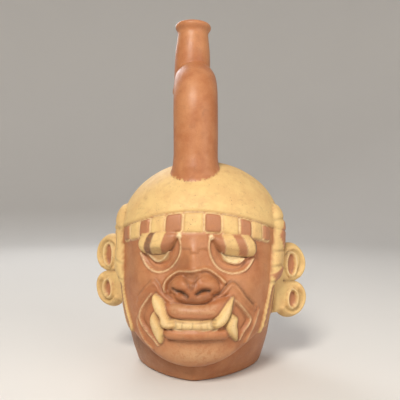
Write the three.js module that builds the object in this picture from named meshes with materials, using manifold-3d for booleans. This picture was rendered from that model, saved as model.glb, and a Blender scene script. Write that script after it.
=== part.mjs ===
// A stirrup spout vessel: a hollow bottle of fired clay in the shape of a fanged head.
// Millimetres, +Z up. The foot stands on Z = 0 with its centre at the origin, and the face looks along -Y.
// The whole vessel is one solid: the head with its relief, the stirrup that stands on the crown,
// and the spout on top of the stirrup, all around one connected hollow.
import * as THREE from "three";
import { ParametricGeometry } from "three/addons/geometries/ParametricGeometry.js";
import { mergeVertices } from "three/addons/utils/BufferGeometryUtils.js";
import Module from "manifold-3d";

const wasm = await Module();
wasm.setup();

// ---------------------------------------------------------------- driving dimensions

const CLAY_COLOUR = 0xb5703f;
const WALL = 5.5; // thickness of the clay

// Rings of the head from the foot to its widest line. Each has its height at the front and at the side,
// its reach to the side, to the front and to the back, and how square its front is (2 is an ellipse).
const RINGS = [
  { front: 0, side: 0, reach: [38.5, 40, 38.5], square: 1.5 },
  { front: 0.8, side: 0.8, reach: [40.6, 42.4, 41], square: 1.5 },
  { front: 3.5, side: 4, reach: [42.2, 43.4, 43], square: 1.5 },
  { front: 8, side: 16, reach: [45.8, 44.3, 46.3], square: 1.7 },
  { front: 13.5, side: 31, reach: [48.3, 44.2, 49.5], square: 1.9 },
  { front: 12.5, side: 36, reach: [49.5, 52.5, 51], square: 2.1 },
  { front: 16, side: 40, reach: [50, 56, 52], square: 2.2 },
  { front: 24, side: 47, reach: [50.6, 58, 53], square: 2.2 },
  { front: 38, side: 56, reach: [51.3, 59, 54], square: 2.2 },
  { front: 54, side: 66, reach: [51.7, 58, 55], square: 2.2 },
  { front: 74, side: 79, reach: [52, 55, 56], square: 2.2 },
  { front: 90.5, side: 90.5, reach: [52, 54, 56.5], square: 2.2 },
];
const NECK_RING = 4; // the crease where the jaw leaves the neck
const JAW_RING = 5; // the lower edge of the face
const TOP_RING = RINGS.length - 1;
const CROWN_RISE = 44; // from the widest line to the crown
const LEAN = 0.021; // sideways drift for each millimetre of height
const LEAN_CENTRE = 62; // the height that doesn't drift
const CROWN = RINGS[TOP_RING].side + CROWN_RISE;

const FACE_EDGE = degrees(57); // the face ends here on both sides
const FACE_DEPTH = 4; // how far the face reaches into the head behind it
const CAP_THICKNESS = 1;
const HEAD_COLUMNS = 30; // facets round the head
const FACE_COLUMNS = 26; // facets across the face, and up it
const FACE_ROWS = 21;

// Stirrup and spout.
const TUBE_RADIUS = 14.1;
const TUBE_FLARE = 1.7; // the legs widen by this where they meet the crown
const BORE_RADIUS = TUBE_RADIUS - WALL + 0.4;
const ARCH_RADIUS = 26;
const ARCH_CENTRE = new THREE.Vector3(-3.4, 0, 162.9);
const ARCH_TURN = degrees(5.5); // the arch stands turned a little from the fore-and-aft plane
const LEG_FOOT = 116; // the legs end here, inside the head
const SPOUT_FOOT = new THREE.Vector3(-5.8, 0, 181);
const RIM = 229.8; // height of the middle of the mouth; the tilted rim reaches 230
const SPOUT_TILT = degrees(1.5);
const SPOUT_BORE = 7.2;

// ---------------------------------------------------------------- small helpers

function degrees(angle) {
  return THREE.MathUtils.degToRad(angle);
}

const { lerp, smoothstep, clamp } = THREE.MathUtils;

/** A three.js geometry as a manifold solid, its faces turned outwards. */
function solid(geometry) {
  const bare = geometry.clone();
  bare.deleteAttribute("normal");
  bare.deleteAttribute("uv");
  const merged = mergeVertices(bare, 1e-3);
  const vertProperties = merged.attributes.position.array;
  const triVerts = new Uint32Array(merged.index.array);
  const made = new wasm.Manifold(new wasm.Mesh({ numProp: 3, vertProperties, triVerts }));
  if (made.volume() > 0) return made;
  triVerts.reverse();
  return new wasm.Manifold(new wasm.Mesh({ numProp: 3, vertProperties, triVerts }));
}

/** Moves each vertex of a geometry to place(x, y, z). */
function lay(geometry, place) {
  const position = geometry.attributes.position;
  for (let i = 0; i < position.count; i++) {
    const to = place(position.getX(i), position.getY(i), position.getZ(i));
    position.setXYZ(i, to.x, to.y, to.z);
  }
  return geometry;
}

/** A closed skin through rows of points: rows[i](azimuth) gives a point, and the end rows are single points. */
function loft(rows, columns, crowding = 0) {
  const grid = (u, v, target) => {
    const turn = (u - 0.5) * 2 * Math.PI;
    const azimuth = u === 1 ? -Math.PI : turn - crowding * Math.sin(turn);
    target.copy(rows[Math.round(v * (rows.length - 1))](azimuth));
  };
  return new ParametricGeometry(grid, columns, rows.length - 1);
}

/** A round bar along a curve. Its section is 2 * wide across the curve and 2 * tall along up. */
function sweep(curve, up, wide, tall, rings, sides, blunt = 2) {
  const section = (u, v, target) => {
    const along = (1 - Math.cos(Math.PI * v)) / 2;
    const swell = Math.max(0, 1 - Math.abs(2 * along - 1) ** blunt) ** (1 / blunt);
    const across = curve.getTangentAt(along).cross(up).normalize();
    const turn = (u === 1 ? 0 : u) * 2 * Math.PI;
    target.copy(curve.getPointAt(along));
    target.addScaledVector(across, Math.cos(turn) * swell * wide(along));
    target.addScaledVector(up, Math.sin(turn) * swell * tall(along));
  };
  return new ParametricGeometry(section, sides, rings);
}

const UP = new THREE.Vector3(0, 0, 1);

/** A curve through [x, y] pairs in the flat pattern, at one height. */
function trail(pairs, height = 0) {
  return new THREE.CatmullRomCurve3(pairs.map(([x, y]) => new THREE.Vector3(x, y, height)));
}

/** A raised roll along a trail, with round ends. */
function roll(pairs, width, height, rings, sides = 6, taper = () => 1) {
  const half = (along) => (width / 2) * taper(along);
  const rise = (along) => height * Math.max(taper(along), 0.5);
  return sweep(trail(pairs), UP, half, rise, rings, sides, 4);
}

/** A flat piece whose top has the outline of shape. Its edge is rounded, so its foot is larger by bevel. */
function plate(shape, height, bevel, curveSegments = 6, bevelSegments = 2) {
  const geometry = new THREE.ExtrudeGeometry(shape, {
    depth: height - bevel + 2,
    bevelEnabled: bevel > 0,
    bevelThickness: bevel,
    bevelSize: bevel,
    bevelSegments,
    curveSegments,
  });
  return geometry.translate(0, 0, -2);
}

/** A swelling with an oval outline. */
function swelling(x, z, halfWidth, halfHeight, rise) {
  return new THREE.SphereGeometry(1, 10, 6).scale(halfWidth, halfHeight, rise).translate(x, z, 0);
}

// ---------------------------------------------------------------- the form of the head

/** A Catmull-Rom blend of the rings' numbers; level counts rings from the foot. */
function ringAt(level) {
  const i = Math.min(Math.floor(level), TOP_RING - 1);
  const s = level - i;
  const near = [i - 1, i, i + 1, i + 2].map((k) => RINGS[clamp(k, 0, TOP_RING)]);
  const blend = (read) => {
    const [a, b, c, d] = near.map(read);
    return (2 * b + (c - a) * s + (2 * a - 5 * b + 4 * c - d) * s ** 2 + (3 * b - a - 3 * c + d) * s ** 3) / 2;
  };
  return {
    front: blend((r) => r.front),
    side: blend((r) => r.side),
    reach: [0, 1, 2].map((k) => blend((r) => r.reach[k])),
    square: lerp(near[1].square, near[2].square, s),
  };
}

/** The smooth outside of the head. Azimuth is 0 at the face and grows towards +X. */
function skin(azimuth, level) {
  const forward = Math.max(Math.cos(azimuth), 0) ** 3;
  const ring = ringAt(Math.min(level, TOP_RING));
  const rise = (clamp(level - TOP_RING, 0, 1) * Math.PI) / 2;
  const z = lerp(ring.side, ring.front, forward) + CROWN_RISE * Math.sin(rise);
  const [side, front, back] = ring.reach.map((r) => Math.max(r * Math.cos(rise), 1e-6));
  const square = Math.cos(azimuth) >= 0 ? ring.square - 0.2 * Math.sin(rise) : 2.1;
  const depth = Math.cos(azimuth) >= 0 ? front : back;
  const radius =
    (Math.abs(Math.sin(azimuth) / side) ** square + Math.abs(Math.cos(azimuth) / depth) ** square) ** (-1 / square);
  const drift = LEAN * (z - LEAN_CENTRE);
  return new THREE.Vector3(drift + radius * Math.sin(azimuth), -radius * Math.cos(azimuth), z);
}

/** The level at which the skin reaches height z, from the jaw up. */
function levelAt(azimuth, z) {
  let [low, high] = [JAW_RING, TOP_RING + 1];
  for (let step = 0; step < 24; step++) {
    const middle = (low + high) / 2;
    if (skin(azimuth, middle).z < z) low = middle;
    else high = middle;
  }
  return low;
}

/** A point at height z on the head, lifted off the skin. */
function onHead(azimuth, z, lift = 0, level = levelAt(azimuth, z)) {
  const nudge = 0.01;
  const here = skin(azimuth, level);
  const sideways = skin(azimuth + nudge, level).sub(skin(azimuth - nudge, level));
  const upwards = skin(azimuth, level + nudge).sub(skin(azimuth, level - nudge));
  return here.addScaledVector(sideways.cross(upwards).normalize(), lift);
}

// Broad forms of the face, each a soft swelling (or a hollow, where its rise is negative).
const FACE_FORMS = [
  { x: -19.5, z: 76, wide: 10, tall: 8, rise: -4 }, // eye sockets
  { x: 22.5, z: 75.5, wide: 10.5, tall: 8.5, rise: -4 },
  { x: 0.5, z: 74, wide: 5.5, tall: 11, rise: 4.5 }, // bridge and back of the nose
  { x: 0.8, z: 62, wide: 9, tall: 7, rise: 4 },
  { x: -26, z: 58, wide: 9, tall: 7, rise: 2 }, // cheeks
  { x: 27, z: 57, wide: 9, tall: 7, rise: 2 },
  { x: 1, z: 41, wide: 21, tall: 11, rise: 3.5 }, // muzzle
  { x: 1, z: 22, wide: 15, tall: 7, rise: 1.5 }, // chin
];

function relief(x, z) {
  return FACE_FORMS.reduce(
    (sum, f) => sum + f.rise * Math.exp(-(((x - f.x) / f.wide) ** 2) - ((z - f.z) / f.tall) ** 2),
    0,
  );
}

/** Places (x, z, lift) of the flat pattern of the face: x is measured straight across. */
function onFace(x, z, lift) {
  let azimuth = x / 55;
  for (let step = 0; step < 8; step++) {
    const here = skin(azimuth, levelAt(azimuth, z));
    azimuth += (x - here.x) / Math.hypot(here.x, here.y);
  }
  return onHead(azimuth, z, lift + relief(x, z));
}

const GIRTH = 54; // millimetres of the pattern for one radian round the head

/** Places (x, z, lift) of the flat pattern that is measured round the head. */
function around(x, z, lift) {
  return onHead(x / GIRTH, z, lift);
}

/** Height of the lower rim of the cap, and of the lower edge of the band under it. */
function capRim(azimuth) {
  return Math.cos(azimuth) > 0 ? 102.4 - 13.9 * Math.sin(azimuth) ** 2 : 88.5 + 4 * Math.cos(azimuth) ** 2;
}

function bandFoot(azimuth) {
  return Math.cos(azimuth) > 0 ? 90.4 - 11.4 * Math.sin(azimuth) ** 2 : 79 + 3 * Math.cos(azimuth) ** 2;
}

function headCore() {
  const inset = (azimuth) => -2.2 * (1 - smoothstep(Math.abs(azimuth), degrees(46), degrees(60)));
  const neck = [0, 1, 2, 3, NECK_RING].map((level) => (azimuth) => skin(azimuth, level));
  const levels = [5, 5.6, 6.5, 7.5, 8.5, 9.5, 10.4, 11.1, 11.4];
  const face = levels.map((level) => (azimuth) => onHead(azimuth, 0, inset(azimuth), level));
  const centre = () => new THREE.Vector3();
  const crown = () => skin(0, TOP_RING + 0.8);
  return solid(loft([centre, ...neck, ...face, crown], HEAD_COLUMNS));
}

function faceMask() {
  const pattern = new THREE.BoxGeometry(2, 1, 1, FACE_COLUMNS, FACE_ROWS, 1);
  return solid(
    lay(pattern, (s, q, w) => {
      const azimuth = s * FACE_EDGE;
      const low = skin(azimuth, JAW_RING).z;
      const z = lerp(low, bandFoot(azimuth) + 2, q + 0.5);
      const here = onHead(azimuth, z);
      const lift = w > 0 ? relief(here.x, z) : -FACE_DEPTH;
      return onHead(azimuth, z, lift);
    }),
  );
}

function cap() {
  const rows = [() => new THREE.Vector3(0, 0, bandFoot(0))];
  const rim = (azimuth) => levelAt(azimuth, capRim(azimuth));
  for (const share of [0, 0.2, 0.4, 0.6, 0.8])
    rows.push((azimuth) => onHead(azimuth, 0, CAP_THICKNESS, lerp(rim(azimuth), TOP_RING + 1, share)));
  rows.push(() => skin(0, TOP_RING + 1).add(new THREE.Vector3(0, 0, CAP_THICKNESS)));
  return solid(loft(rows, HEAD_COLUMNS));
}

// ---------------------------------------------------------------- what is laid on the head

// Edges between the blocks of the band, in degrees round the head from one strap to the other.
const FRONT_BLOCKS = [-56, -47, -38, -28.5, -19, -7, 5.5, 17, 27.5, 37, 45.5, 54];
const BACK_BLOCKS = Array.from({ length: 8 }, (_, i) => 95 + i * (170 / 7));

function bandBlock(from, to) {
  const gap = 0.5 / GIRTH;
  const rise = 1.3;
  return solid(
    lay(new THREE.BoxGeometry(1, 1, 1, to - from > 10 ? 2 : 1, 1, 1), (s, q, w) => {
      const azimuth = lerp(degrees(from) + gap, degrees(to) - gap, s + 0.5);
      const z = lerp(bandFoot(azimuth), capRim(azimuth) + 1, q + 0.5);
      return onHead(azimuth, z, w > 0 ? rise : -3);
    }),
  );
}

function band() {
  const front = FRONT_BLOCKS.slice(1).map((to, i) => bandBlock(FRONT_BLOCKS[i], to));
  const back = BACK_BLOCKS.slice(1).map((to, i) => bandBlock(BACK_BLOCKS[i], to));
  return [...front, ...back];
}

function browPad(centre, side) {
  const pad = new THREE.Shape();
  pad.moveTo(9.8, 87.6);
  pad.quadraticCurveTo(6.5, 82.4, 0, 81.2);
  pad.quadraticCurveTo(-9, 79.6, -10, 83);
  pad.quadraticCurveTo(-9.6, 87.6, -1, 88.6);
  const pattern = plate(pad, 5.5, 2.2, 4).scale(side, 1, 1).translate(centre, 0, 0);
  return solid(lay(pattern, onFace));
}

function bridgeOrnament() {
  const outline = new THREE.Shape([
    new THREE.Vector2(-7.2, 90),
    new THREE.Vector2(-7.2, 81),
    new THREE.Vector2(-2.1, 81),
    new THREE.Vector2(-2.1, 79),
    new THREE.Vector2(3.2, 79),
    new THREE.Vector2(3.2, 81),
    new THREE.Vector2(8.3, 81),
    new THREE.Vector2(8.3, 90),
  ]);
  return solid(lay(plate(outline, 1.2, 0), onFace));
}

/** An eyeball under the pad and the rim of its socket. */
function eye(x, z) {
  const ball = swelling(x, z, 8.5, 5.8, 3.2);
  const rim = [];
  for (let turn = 185; turn <= 375; turn += 19)
    rim.push([x + 12 * Math.cos(degrees(turn)), z - 0.5 + 11 * Math.sin(degrees(turn))]);
  return [ball, roll(rim, 1.8, 0.9, 10, 4)].map((g) => solid(lay(g, onFace)));
}

function nose() {
  const wings = [
    swelling(-6.8, 60, 6.4, 5, 4.5),
    swelling(8.3, 60.2, 6.8, 5.2, 4.5),
    swelling(0.6, 55.2, 10.5, 4.4, 4.5),
  ].map((g) => solid(lay(g, onFace)));
  const fold = [[-15.8, 56], [-15.5, 60.5], [-13, 65.5], [-7.5, 68.5], [0, 68.9], [8, 69.6], [13.5, 67.3], [18, 62.8]];
  return [...wings, solid(lay(roll(fold, 2.2, 1.3, 10, 4), onFace))];
}

function nostrils() {
  const slits = [[-6.4, degrees(-20)], [6.3, degrees(20)]];
  return slits.map(([x, turn]) => {
    const slit = new THREE.SphereGeometry(1, 8, 6).scale(3.4, 1.2, 3);
    slit.rotateZ(turn).translate(x, 57.2, 4.4);
    return solid(lay(slit, onFace));
  });
}

function mouth() {
  const upperLip = [[-16, 47.3], [-8, 46.8], [0.8, 46.2], [8, 46.6], [15, 48.5], [21, 51.5]];
  const lowerLip = [[-17, 33.6], [-8, 33], [1, 32.9], [11, 33], [20.5, 33.8]];
  const teeth = new THREE.BoxGeometry(27, 5.6, 4, 8, 1, 1).translate(0.2, 39.2, -0.2);
  const full = (along) => 0.55 + 0.45 * Math.sin(Math.PI * clamp(along * 1.15, 0, 1));
  return [roll(upperLip, 8.4, 3, 8, 8, full), roll(lowerLip, 6, 3, 8, 8), teeth].map((g) =>
    solid(lay(g, onFace)),
  );
}

/** A fang that narrows from its root to its tip. */
function fang(pairs, width) {
  const taper = (along) => 1 - 0.72 * along ** 1.6;
  return solid(lay(roll(pairs, width, 3.4, 6, 6, taper), onFace));
}

function fangs() {
  return [
    fang([[-11.5, 39.5], [-15.5, 41], [-18.8, 47], [-22.3, 56]], 8),
    fang([[12.5, 39.5], [16, 41.5], [19.3, 46.5], [23, 54.8]], 7.4),
    fang([[-24.3, 45.5], [-23.2, 38.5], [-21, 33], [-18.8, 27.3]], 6.4),
    fang([[23, 43.8], [23.4, 38.5], [24.2, 34], [25.8, 28.6]], 5.8),
  ];
}

/** Pointed folds over the cheeks. */
function cheekFolds() {
  const folds = [
    [[-12, 52.5], [-17.3, 57], [-23, 62.3], [-28.5, 57.5], [-34.5, 50]],
    [[12, 52.5], [16.5, 57.3], [22, 62.2], [28.5, 58], [37.5, 46.5]],
  ];
  return folds.map((pairs) => solid(lay(roll(pairs, 3, 1.2, 8, 4), onFace)));
}

/** The strap that hangs from the band in front of an ear, and its narrow lower end. */
function strap(side, end) {
  const path = [[70, 98], [69, 84], [66, 69], [60, 58], [54, 45], end];
  const pairs = path.map(([angle, z]) => [side * degrees(angle) * GIRTH, z]);
  const taper = (along) => 1 - 0.58 * smoothstep(along, 0.42, 0.66);
  return solid(lay(roll(pairs, 17, 5.4, 10, 6, taper), around));
}

// ---------------------------------------------------------------- ears

const EAR_ROOT = new THREE.Vector3(50, -12.5, 0);
const EAR_SWEEP = degrees(34); // the ears lie back by this much
const UPPER_LOBE = { x: 11.5, y: 13.5, radius: 13 };
const LOWER_LOBE = { x: 12.5, y: -11, radius: 12.5 };

/** One ear in its own plane: x runs outwards, y up, z forwards; y = 0 is the waist between its lobes. */
function earPattern() {
  const outline = new THREE.Shape();
  const edge = 2.2;
  outline.moveTo(-4, 22);
  outline.absarc(UPPER_LOBE.x, UPPER_LOBE.y, UPPER_LOBE.radius - edge, degrees(90), degrees(-36), true);
  outline.absarc(LOWER_LOBE.x, LOWER_LOBE.y, LOWER_LOBE.radius - edge, degrees(36), degrees(-90), true);
  outline.lineTo(-4, -19);
  const body = plate(outline, 5, edge, 4, 1).translate(0, 0, -1.5);
  const loops = [[10.5, 12.5, 3.6, 8], [11.5, -10.5, 3.6, 6]].map(([x, y, wide, tall]) => {
    const ring = [];
    for (let turn = 0; turn <= 300; turn += 30)
      ring.push([x + 1.35 * wide * Math.cos(degrees(turn)), y + tall * Math.sin(degrees(turn))]);
    return roll(ring, 2.6, 2, 11, 4).translate(0, 0, 3.4);
  });
  return [body, ...loops];
}

function ear(side, waist) {
  const frame = new THREE.Matrix4().makeRotationZ(EAR_SWEEP);
  frame.multiply(new THREE.Matrix4().makeRotationX(Math.PI / 2));
  frame.setPosition(EAR_ROOT.x, EAR_ROOT.y, waist);
  const mirror = new THREE.Matrix4().makeScale(side, 1, 1);
  return earPattern().map((g) => solid(g.applyMatrix4(frame).applyMatrix4(mirror)));
}

// ---------------------------------------------------------------- stirrup, spout and hollow

/** The centre line of the stirrup: up the front leg, over the arch and down the back leg. */
class Stirrup extends THREE.Curve {
  getPoint(t, target = new THREE.Vector3()) {
    const leg = ARCH_CENTRE.z - LEG_FOOT;
    const bend = Math.PI * ARCH_RADIUS;
    const run = t * (2 * leg + bend);
    const turn = clamp(run - leg, 0, bend) / ARCH_RADIUS;
    const drop = Math.max(leg - run, run - leg - bend, 0);
    const along = -ARCH_RADIUS * Math.cos(turn);
    const height = ARCH_RADIUS * Math.sin(turn) - drop;
    target.set(-Math.sin(ARCH_TURN) * along, Math.cos(ARCH_TURN) * along, height);
    return target.add(ARCH_CENTRE);
  }
}

function stirrup(radius, flare, rings, sides) {
  const curve = new Stirrup();
  const flat = new THREE.Vector3(Math.cos(ARCH_TURN), Math.sin(ARCH_TURN), 0);
  const size = (along) => radius + flare * (1 - smoothstep(curve.getPointAt(along).z, CROWN - 14, CROWN + 6));
  const section = (u, v, target) => {
    const ring = clamp(v * (rings + 2) - 1, 0, rings) / rings;
    const end = v === 0 || v === 1 ? 0 : 1;
    const outward = curve.getTangentAt(ring).cross(flat).normalize();
    const turn = (u === 1 ? 0 : u) * 2 * Math.PI;
    target.copy(curve.getPointAt(ring));
    target.addScaledVector(flat, Math.cos(turn) * end * size(ring));
    target.addScaledVector(outward, Math.sin(turn) * end * size(ring));
  };
  return solid(new ParametricGeometry(section, sides, rings + 2));
}

/** A turned form about the spout's own axis, from [radius, height above the spout's foot] pairs. */
function turned(profile, sides) {
  const points = profile.map(([radius, height]) => new THREE.Vector2(radius, height));
  const form = new THREE.LatheGeometry(points, sides).rotateX(Math.PI / 2).rotateY(SPOUT_TILT);
  return solid(form.translate(SPOUT_FOOT.x, SPOUT_FOOT.y, SPOUT_FOOT.z));
}

function spout() {
  const top = RIM - SPOUT_FOOT.z;
  const profile = [
    [0, 0], [12.2, 0], [12.2, 18], [11.9, 28], [10.9, 37], [10.4, top - 6.5],
    [11.4, top - 4.2], [12.1, top - 2.8], [12, top - 1.2], [11, top - 0.2], [9.7, top], [0, top],
  ];
  return turned(profile, 16);
}

function spoutBore() {
  const top = RIM - SPOUT_FOOT.z;
  return turned([[0, 4], [SPOUT_BORE, 4], [SPOUT_BORE, top - 5], [8, top - 1.4], [9, top + 1], [0, top + 1]], 10);
}

/** The hollow inside the head. It follows the outside at the wall's thickness, and is smooth behind the face. */
function chamber() {
  const behindFace = (azimuth) => 3.4 * (1 - smoothstep(Math.abs(azimuth), 0.7, 1.3));
  const floor = () => new THREE.Vector3(0, 0, WALL);
  const low = (share) => (azimuth) => {
    const wall = skin(azimuth, 2 + share * 2);
    const flat = Math.hypot(wall.x, wall.y);
    wall.z = WALL + share * 14;
    wall.x *= 1 - (WALL + 3 * (1 - share)) / flat;
    wall.y *= 1 - (WALL + 3 * (1 - share)) / flat;
    return wall;
  };
  const levels = [7.2, 8.4, 9.6, 11, 11.3, 11.55, 11.8];
  const upper = levels.map((level) => (azimuth) => onHead(azimuth, 0, -WALL - behindFace(azimuth), level));
  const top = () => skin(0, TOP_RING + 1).sub(new THREE.Vector3(0, 0, WALL));
  return solid(loft([floor, low(0), low(0.6), ...upper, top], 18));
}

// ---------------------------------------------------------------- the vessel

function vessel() {
  const raised = [
    headCore(),
    faceMask(),
    cap(),
    ...band(),
    browPad(-22.5, 1),
    browPad(25, -1),
    bridgeOrnament(),
    ...eye(-19.5, 78.8),
    ...eye(22.4, 78.3),
    ...nose(),
    ...mouth(),
    ...fangs(),
    ...cheekFolds(),
    strap(-1, [46, 32]),
    strap(1, [50, 30]),
    ...ear(-1, 60),
    ...ear(1, 54.5),
    stirrup(TUBE_RADIUS, TUBE_FLARE, 15, 14),
    spout(),
  ];
  const cut = [...nostrils(), chamber(), stirrup(BORE_RADIUS, 0, 12, 8), spoutBore()];
  const whole = raised.reduce((sum, piece) => sum.add(piece));
  return cut.reduce((left, piece) => left.subtract(piece), whole);
}

function meshOf(made, name, material) {
  const { vertProperties, triVerts, numProp } = made.getMesh();
  const geometry = new THREE.BufferGeometry();
  const interleaved = new THREE.InterleavedBuffer(new Float32Array(vertProperties), numProp);
  geometry.setAttribute("position", new THREE.InterleavedBufferAttribute(interleaved, 3, 0));
  geometry.setIndex(new THREE.BufferAttribute(triVerts, 1));
  const mesh = new THREE.Mesh(geometry.toNonIndexed(), material);
  mesh.name = name;
  return mesh;
}

const firedClay = new THREE.MeshStandardMaterial({ color: CLAY_COLOUR, roughness: 0.62, metalness: 0 });
const group = new THREE.Group();
group.add(meshOf(vessel(), "vessel", firedClay));

export default group;
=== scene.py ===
"""A stirrup spout vessel of fired clay: a hollow bottle in the shape of a fanged head.

Its pattern is drawn in millimetres, as a potter's sketch would be, and scaled to the frame.
The face looks along -Y, and the foot stands on the floor at Z = 0.
"""

import math

import bmesh
import bpy
import numpy as np
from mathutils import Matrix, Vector, noise


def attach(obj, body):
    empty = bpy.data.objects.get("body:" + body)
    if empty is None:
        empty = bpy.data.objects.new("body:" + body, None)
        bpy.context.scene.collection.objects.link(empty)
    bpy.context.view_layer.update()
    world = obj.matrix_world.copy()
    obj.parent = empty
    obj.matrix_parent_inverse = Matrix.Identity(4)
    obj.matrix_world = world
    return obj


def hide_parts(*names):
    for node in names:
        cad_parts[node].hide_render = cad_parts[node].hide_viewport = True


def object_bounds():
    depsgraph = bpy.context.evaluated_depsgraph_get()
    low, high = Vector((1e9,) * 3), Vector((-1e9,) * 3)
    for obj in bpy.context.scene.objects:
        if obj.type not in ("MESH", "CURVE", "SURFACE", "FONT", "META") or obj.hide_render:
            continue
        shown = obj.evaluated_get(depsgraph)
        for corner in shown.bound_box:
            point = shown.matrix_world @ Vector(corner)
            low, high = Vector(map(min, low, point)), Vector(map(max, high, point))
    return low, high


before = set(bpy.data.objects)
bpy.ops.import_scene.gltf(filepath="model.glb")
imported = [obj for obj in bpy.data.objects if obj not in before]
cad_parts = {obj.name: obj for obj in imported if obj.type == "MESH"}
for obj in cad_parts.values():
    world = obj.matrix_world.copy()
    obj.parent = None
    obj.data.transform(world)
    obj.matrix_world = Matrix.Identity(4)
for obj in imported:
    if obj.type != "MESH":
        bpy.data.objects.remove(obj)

CAD_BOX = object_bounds()

bl_info = {
    "name": "Stirrup Spout Vessel",
    "version": (1, 0, 0),
    "blender": (4, 5, 0),
    "location": "View3D > Sidebar > Vessel",
    "description": "Models a stirrup spout vessel in the shape of a fanged head",
    "category": "Mesh",
}

# ------------------------------------------------------------------ sizes of the sketch, in millimetres

SKETCH_HEIGHT = 230
MM = (CAD_BOX[1].z - CAD_BOX[0].z) / SKETCH_HEIGHT  # metres in one millimetre of the sketch

# Rings of the head from the foot to its widest line: height at the front and at the side,
# reach to the side, the front and the back, and how square the front is (2 is an ellipse).
RINGS = np.array([
    (0, 0, 38.5, 40, 38.5, 1.5),
    (0.8, 0.8, 40.6, 42.4, 41, 1.5),
    (3.5, 4, 42.2, 43.4, 43, 1.5),
    (8, 16, 45.8, 44.3, 46.3, 1.7),
    (13.5, 31, 48.3, 44.2, 49.5, 1.9),
    (12.5, 36, 49.5, 52.5, 51, 2.1),
    (16, 40, 50, 56, 52, 2.2),
    (24, 47, 50.6, 58, 53, 2.2),
    (38, 56, 51.3, 59, 54, 2.2),
    (54, 66, 51.7, 58, 55, 2.2),
    (74, 79, 52, 55, 56, 2.2),
    (90.5, 90.5, 52, 54, 56.5, 2.2),
])
TOP_RING = len(RINGS) - 1
CROWN_RING = TOP_RING + 1
BACK_SQUARE = 2.1
CROWN_RISE = 44
LEAN, LEAN_CENTRE = 0.021, 62
GIRTH = 54  # millimetres of the pattern for one radian round the head
WALL = 5.5

ARCH_RADIUS = 26
ARCH_CENTRE = np.array([-3.4, 0, 162.9])
ARCH_TURN = math.radians(5.5)
LEG_FOOT = 116
SPOUT_FOOT = np.array([-5.8, 0, 181])
SPOUT_TILT = math.radians(1.5)
RIM = 229.8
STRAP_WIDTH, STRAP_HEIGHT = 17, 5.4
EAR_ROOT = (50, -12.5)
EAR_SWEEP = math.radians(34)

# Slips, stains and painted shade, each a share from 0 to 1 at every point of the clay. The coat of smoky
# stains also carries painted shade: dark lines in grooves and seams, under the brow pads and the cap rim,
# round the fangs, and on the neck under the jaw.
COATS = ("cream", "red", "brown", "pale", "smoke_and_shade")


# ------------------------------------------------------------------ settings shown in the sidebar

def colour(name, description, default):
    return bpy.props.FloatVectorProperty(
        name=name, description=description, default=default, size=4, min=0, max=1, subtype="COLOR"
    )


def number(name, description, default, low=0.0, high=1.0):
    return bpy.props.FloatProperty(name=name, description=description, default=default, min=low, max=high)


def length(name, description, default):
    return bpy.props.FloatProperty(
        name=name, description=description, default=default, min=0, unit="LENGTH", subtype="DISTANCE"
    )


class VesselSizes(bpy.types.PropertyGroup):
    columns: bpy.props.IntProperty(name="Columns", description="Points round the head", default=330, min=40)
    rows: bpy.props.IntProperty(name="Rows", description="Points up the head", default=205, min=40)
    tube_radius: length("Tube radius", "Outside radius of the stirrup", 14.1 * MM)
    tube_flare: length("Tube flare", "How much the legs widen on the crown", 1.9 * MM)
    unevenness: length("Unevenness", "How far the hand-made surface strays", 0.22 * MM)


class ClayFinish(bpy.types.PropertyGroup):
    clay: colour("Clay", "Burnished orange clay", (0.46, 0.2, 0.085, 1))
    deep_clay: colour("Deep clay", "Clay where it fired redder", (0.36, 0.125, 0.045, 1))
    cream: colour("Cream slip", "Cream slip of the cap, teeth and ears", (0.67, 0.46, 0.19, 1))
    pale: colour("Pale slip", "Thick pale slip left along edges", (0.76, 0.58, 0.33, 1))
    # The pale colour also paints a highlight on the chin and the lit top facet of the upper lip.
    red: colour("Red slip", "Red-brown slip of the blocks", (0.4, 0.17, 0.08, 1))
    brown: colour("Brown slip", "Dark brown slip of the stripes", (0.2, 0.1, 0.05, 1))
    # The soot colour also paints shade in the hollows and creases and under overhangs, as well as the dark
    # specks.
    soot_and_shade: colour("Soot", "Smoke stains and dirt in the hollows", (0.085, 0.05, 0.03, 1))
    gloss: number("Gloss", "Roughness of the burnished clay", 0.42)


class StageSettings(bpy.types.PropertyGroup):
    lens: bpy.props.FloatProperty(
        name="Lens", description="Focal length", default=44.1, min=1, unit="CAMERA"
    )
    distance: length("Distance", "From the camera to the vessel's axis", 337 * MM)
    height: length("Height", "Height of the camera above the floor", 109.3 * MM)
    turn: bpy.props.FloatProperty(
        name="Turn",
        description="How far the camera stands to the vessel's left",
        default=math.radians(4),
        subtype="ANGLE",
    )
    floor: colour("Floor", "Colour of the floor", (0.74, 0.72, 0.69, 1))


# ------------------------------------------------------------------ mesh helpers

def points_of(mesh):
    flat = np.empty(len(mesh.vertices) * 3)
    mesh.vertices.foreach_get("co", flat)
    return flat.reshape(-1, 3)


def values_of(mesh, name):
    flat = np.zeros(len(mesh.vertices))
    mesh.attributes[name].data.foreach_get("value", flat)
    return flat


def store(mesh, name, values):
    layer = mesh.attributes.get(name) or mesh.attributes.new(name, "FLOAT", "POINT")
    layer.data.foreach_set("value", np.ascontiguousarray(values, dtype=np.float32))


def edges_of(mesh):
    flat = np.empty(len(mesh.edges) * 2, dtype=np.int64)
    mesh.edges.foreach_get("vertices", flat)
    return flat.reshape(-1, 2)


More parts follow.
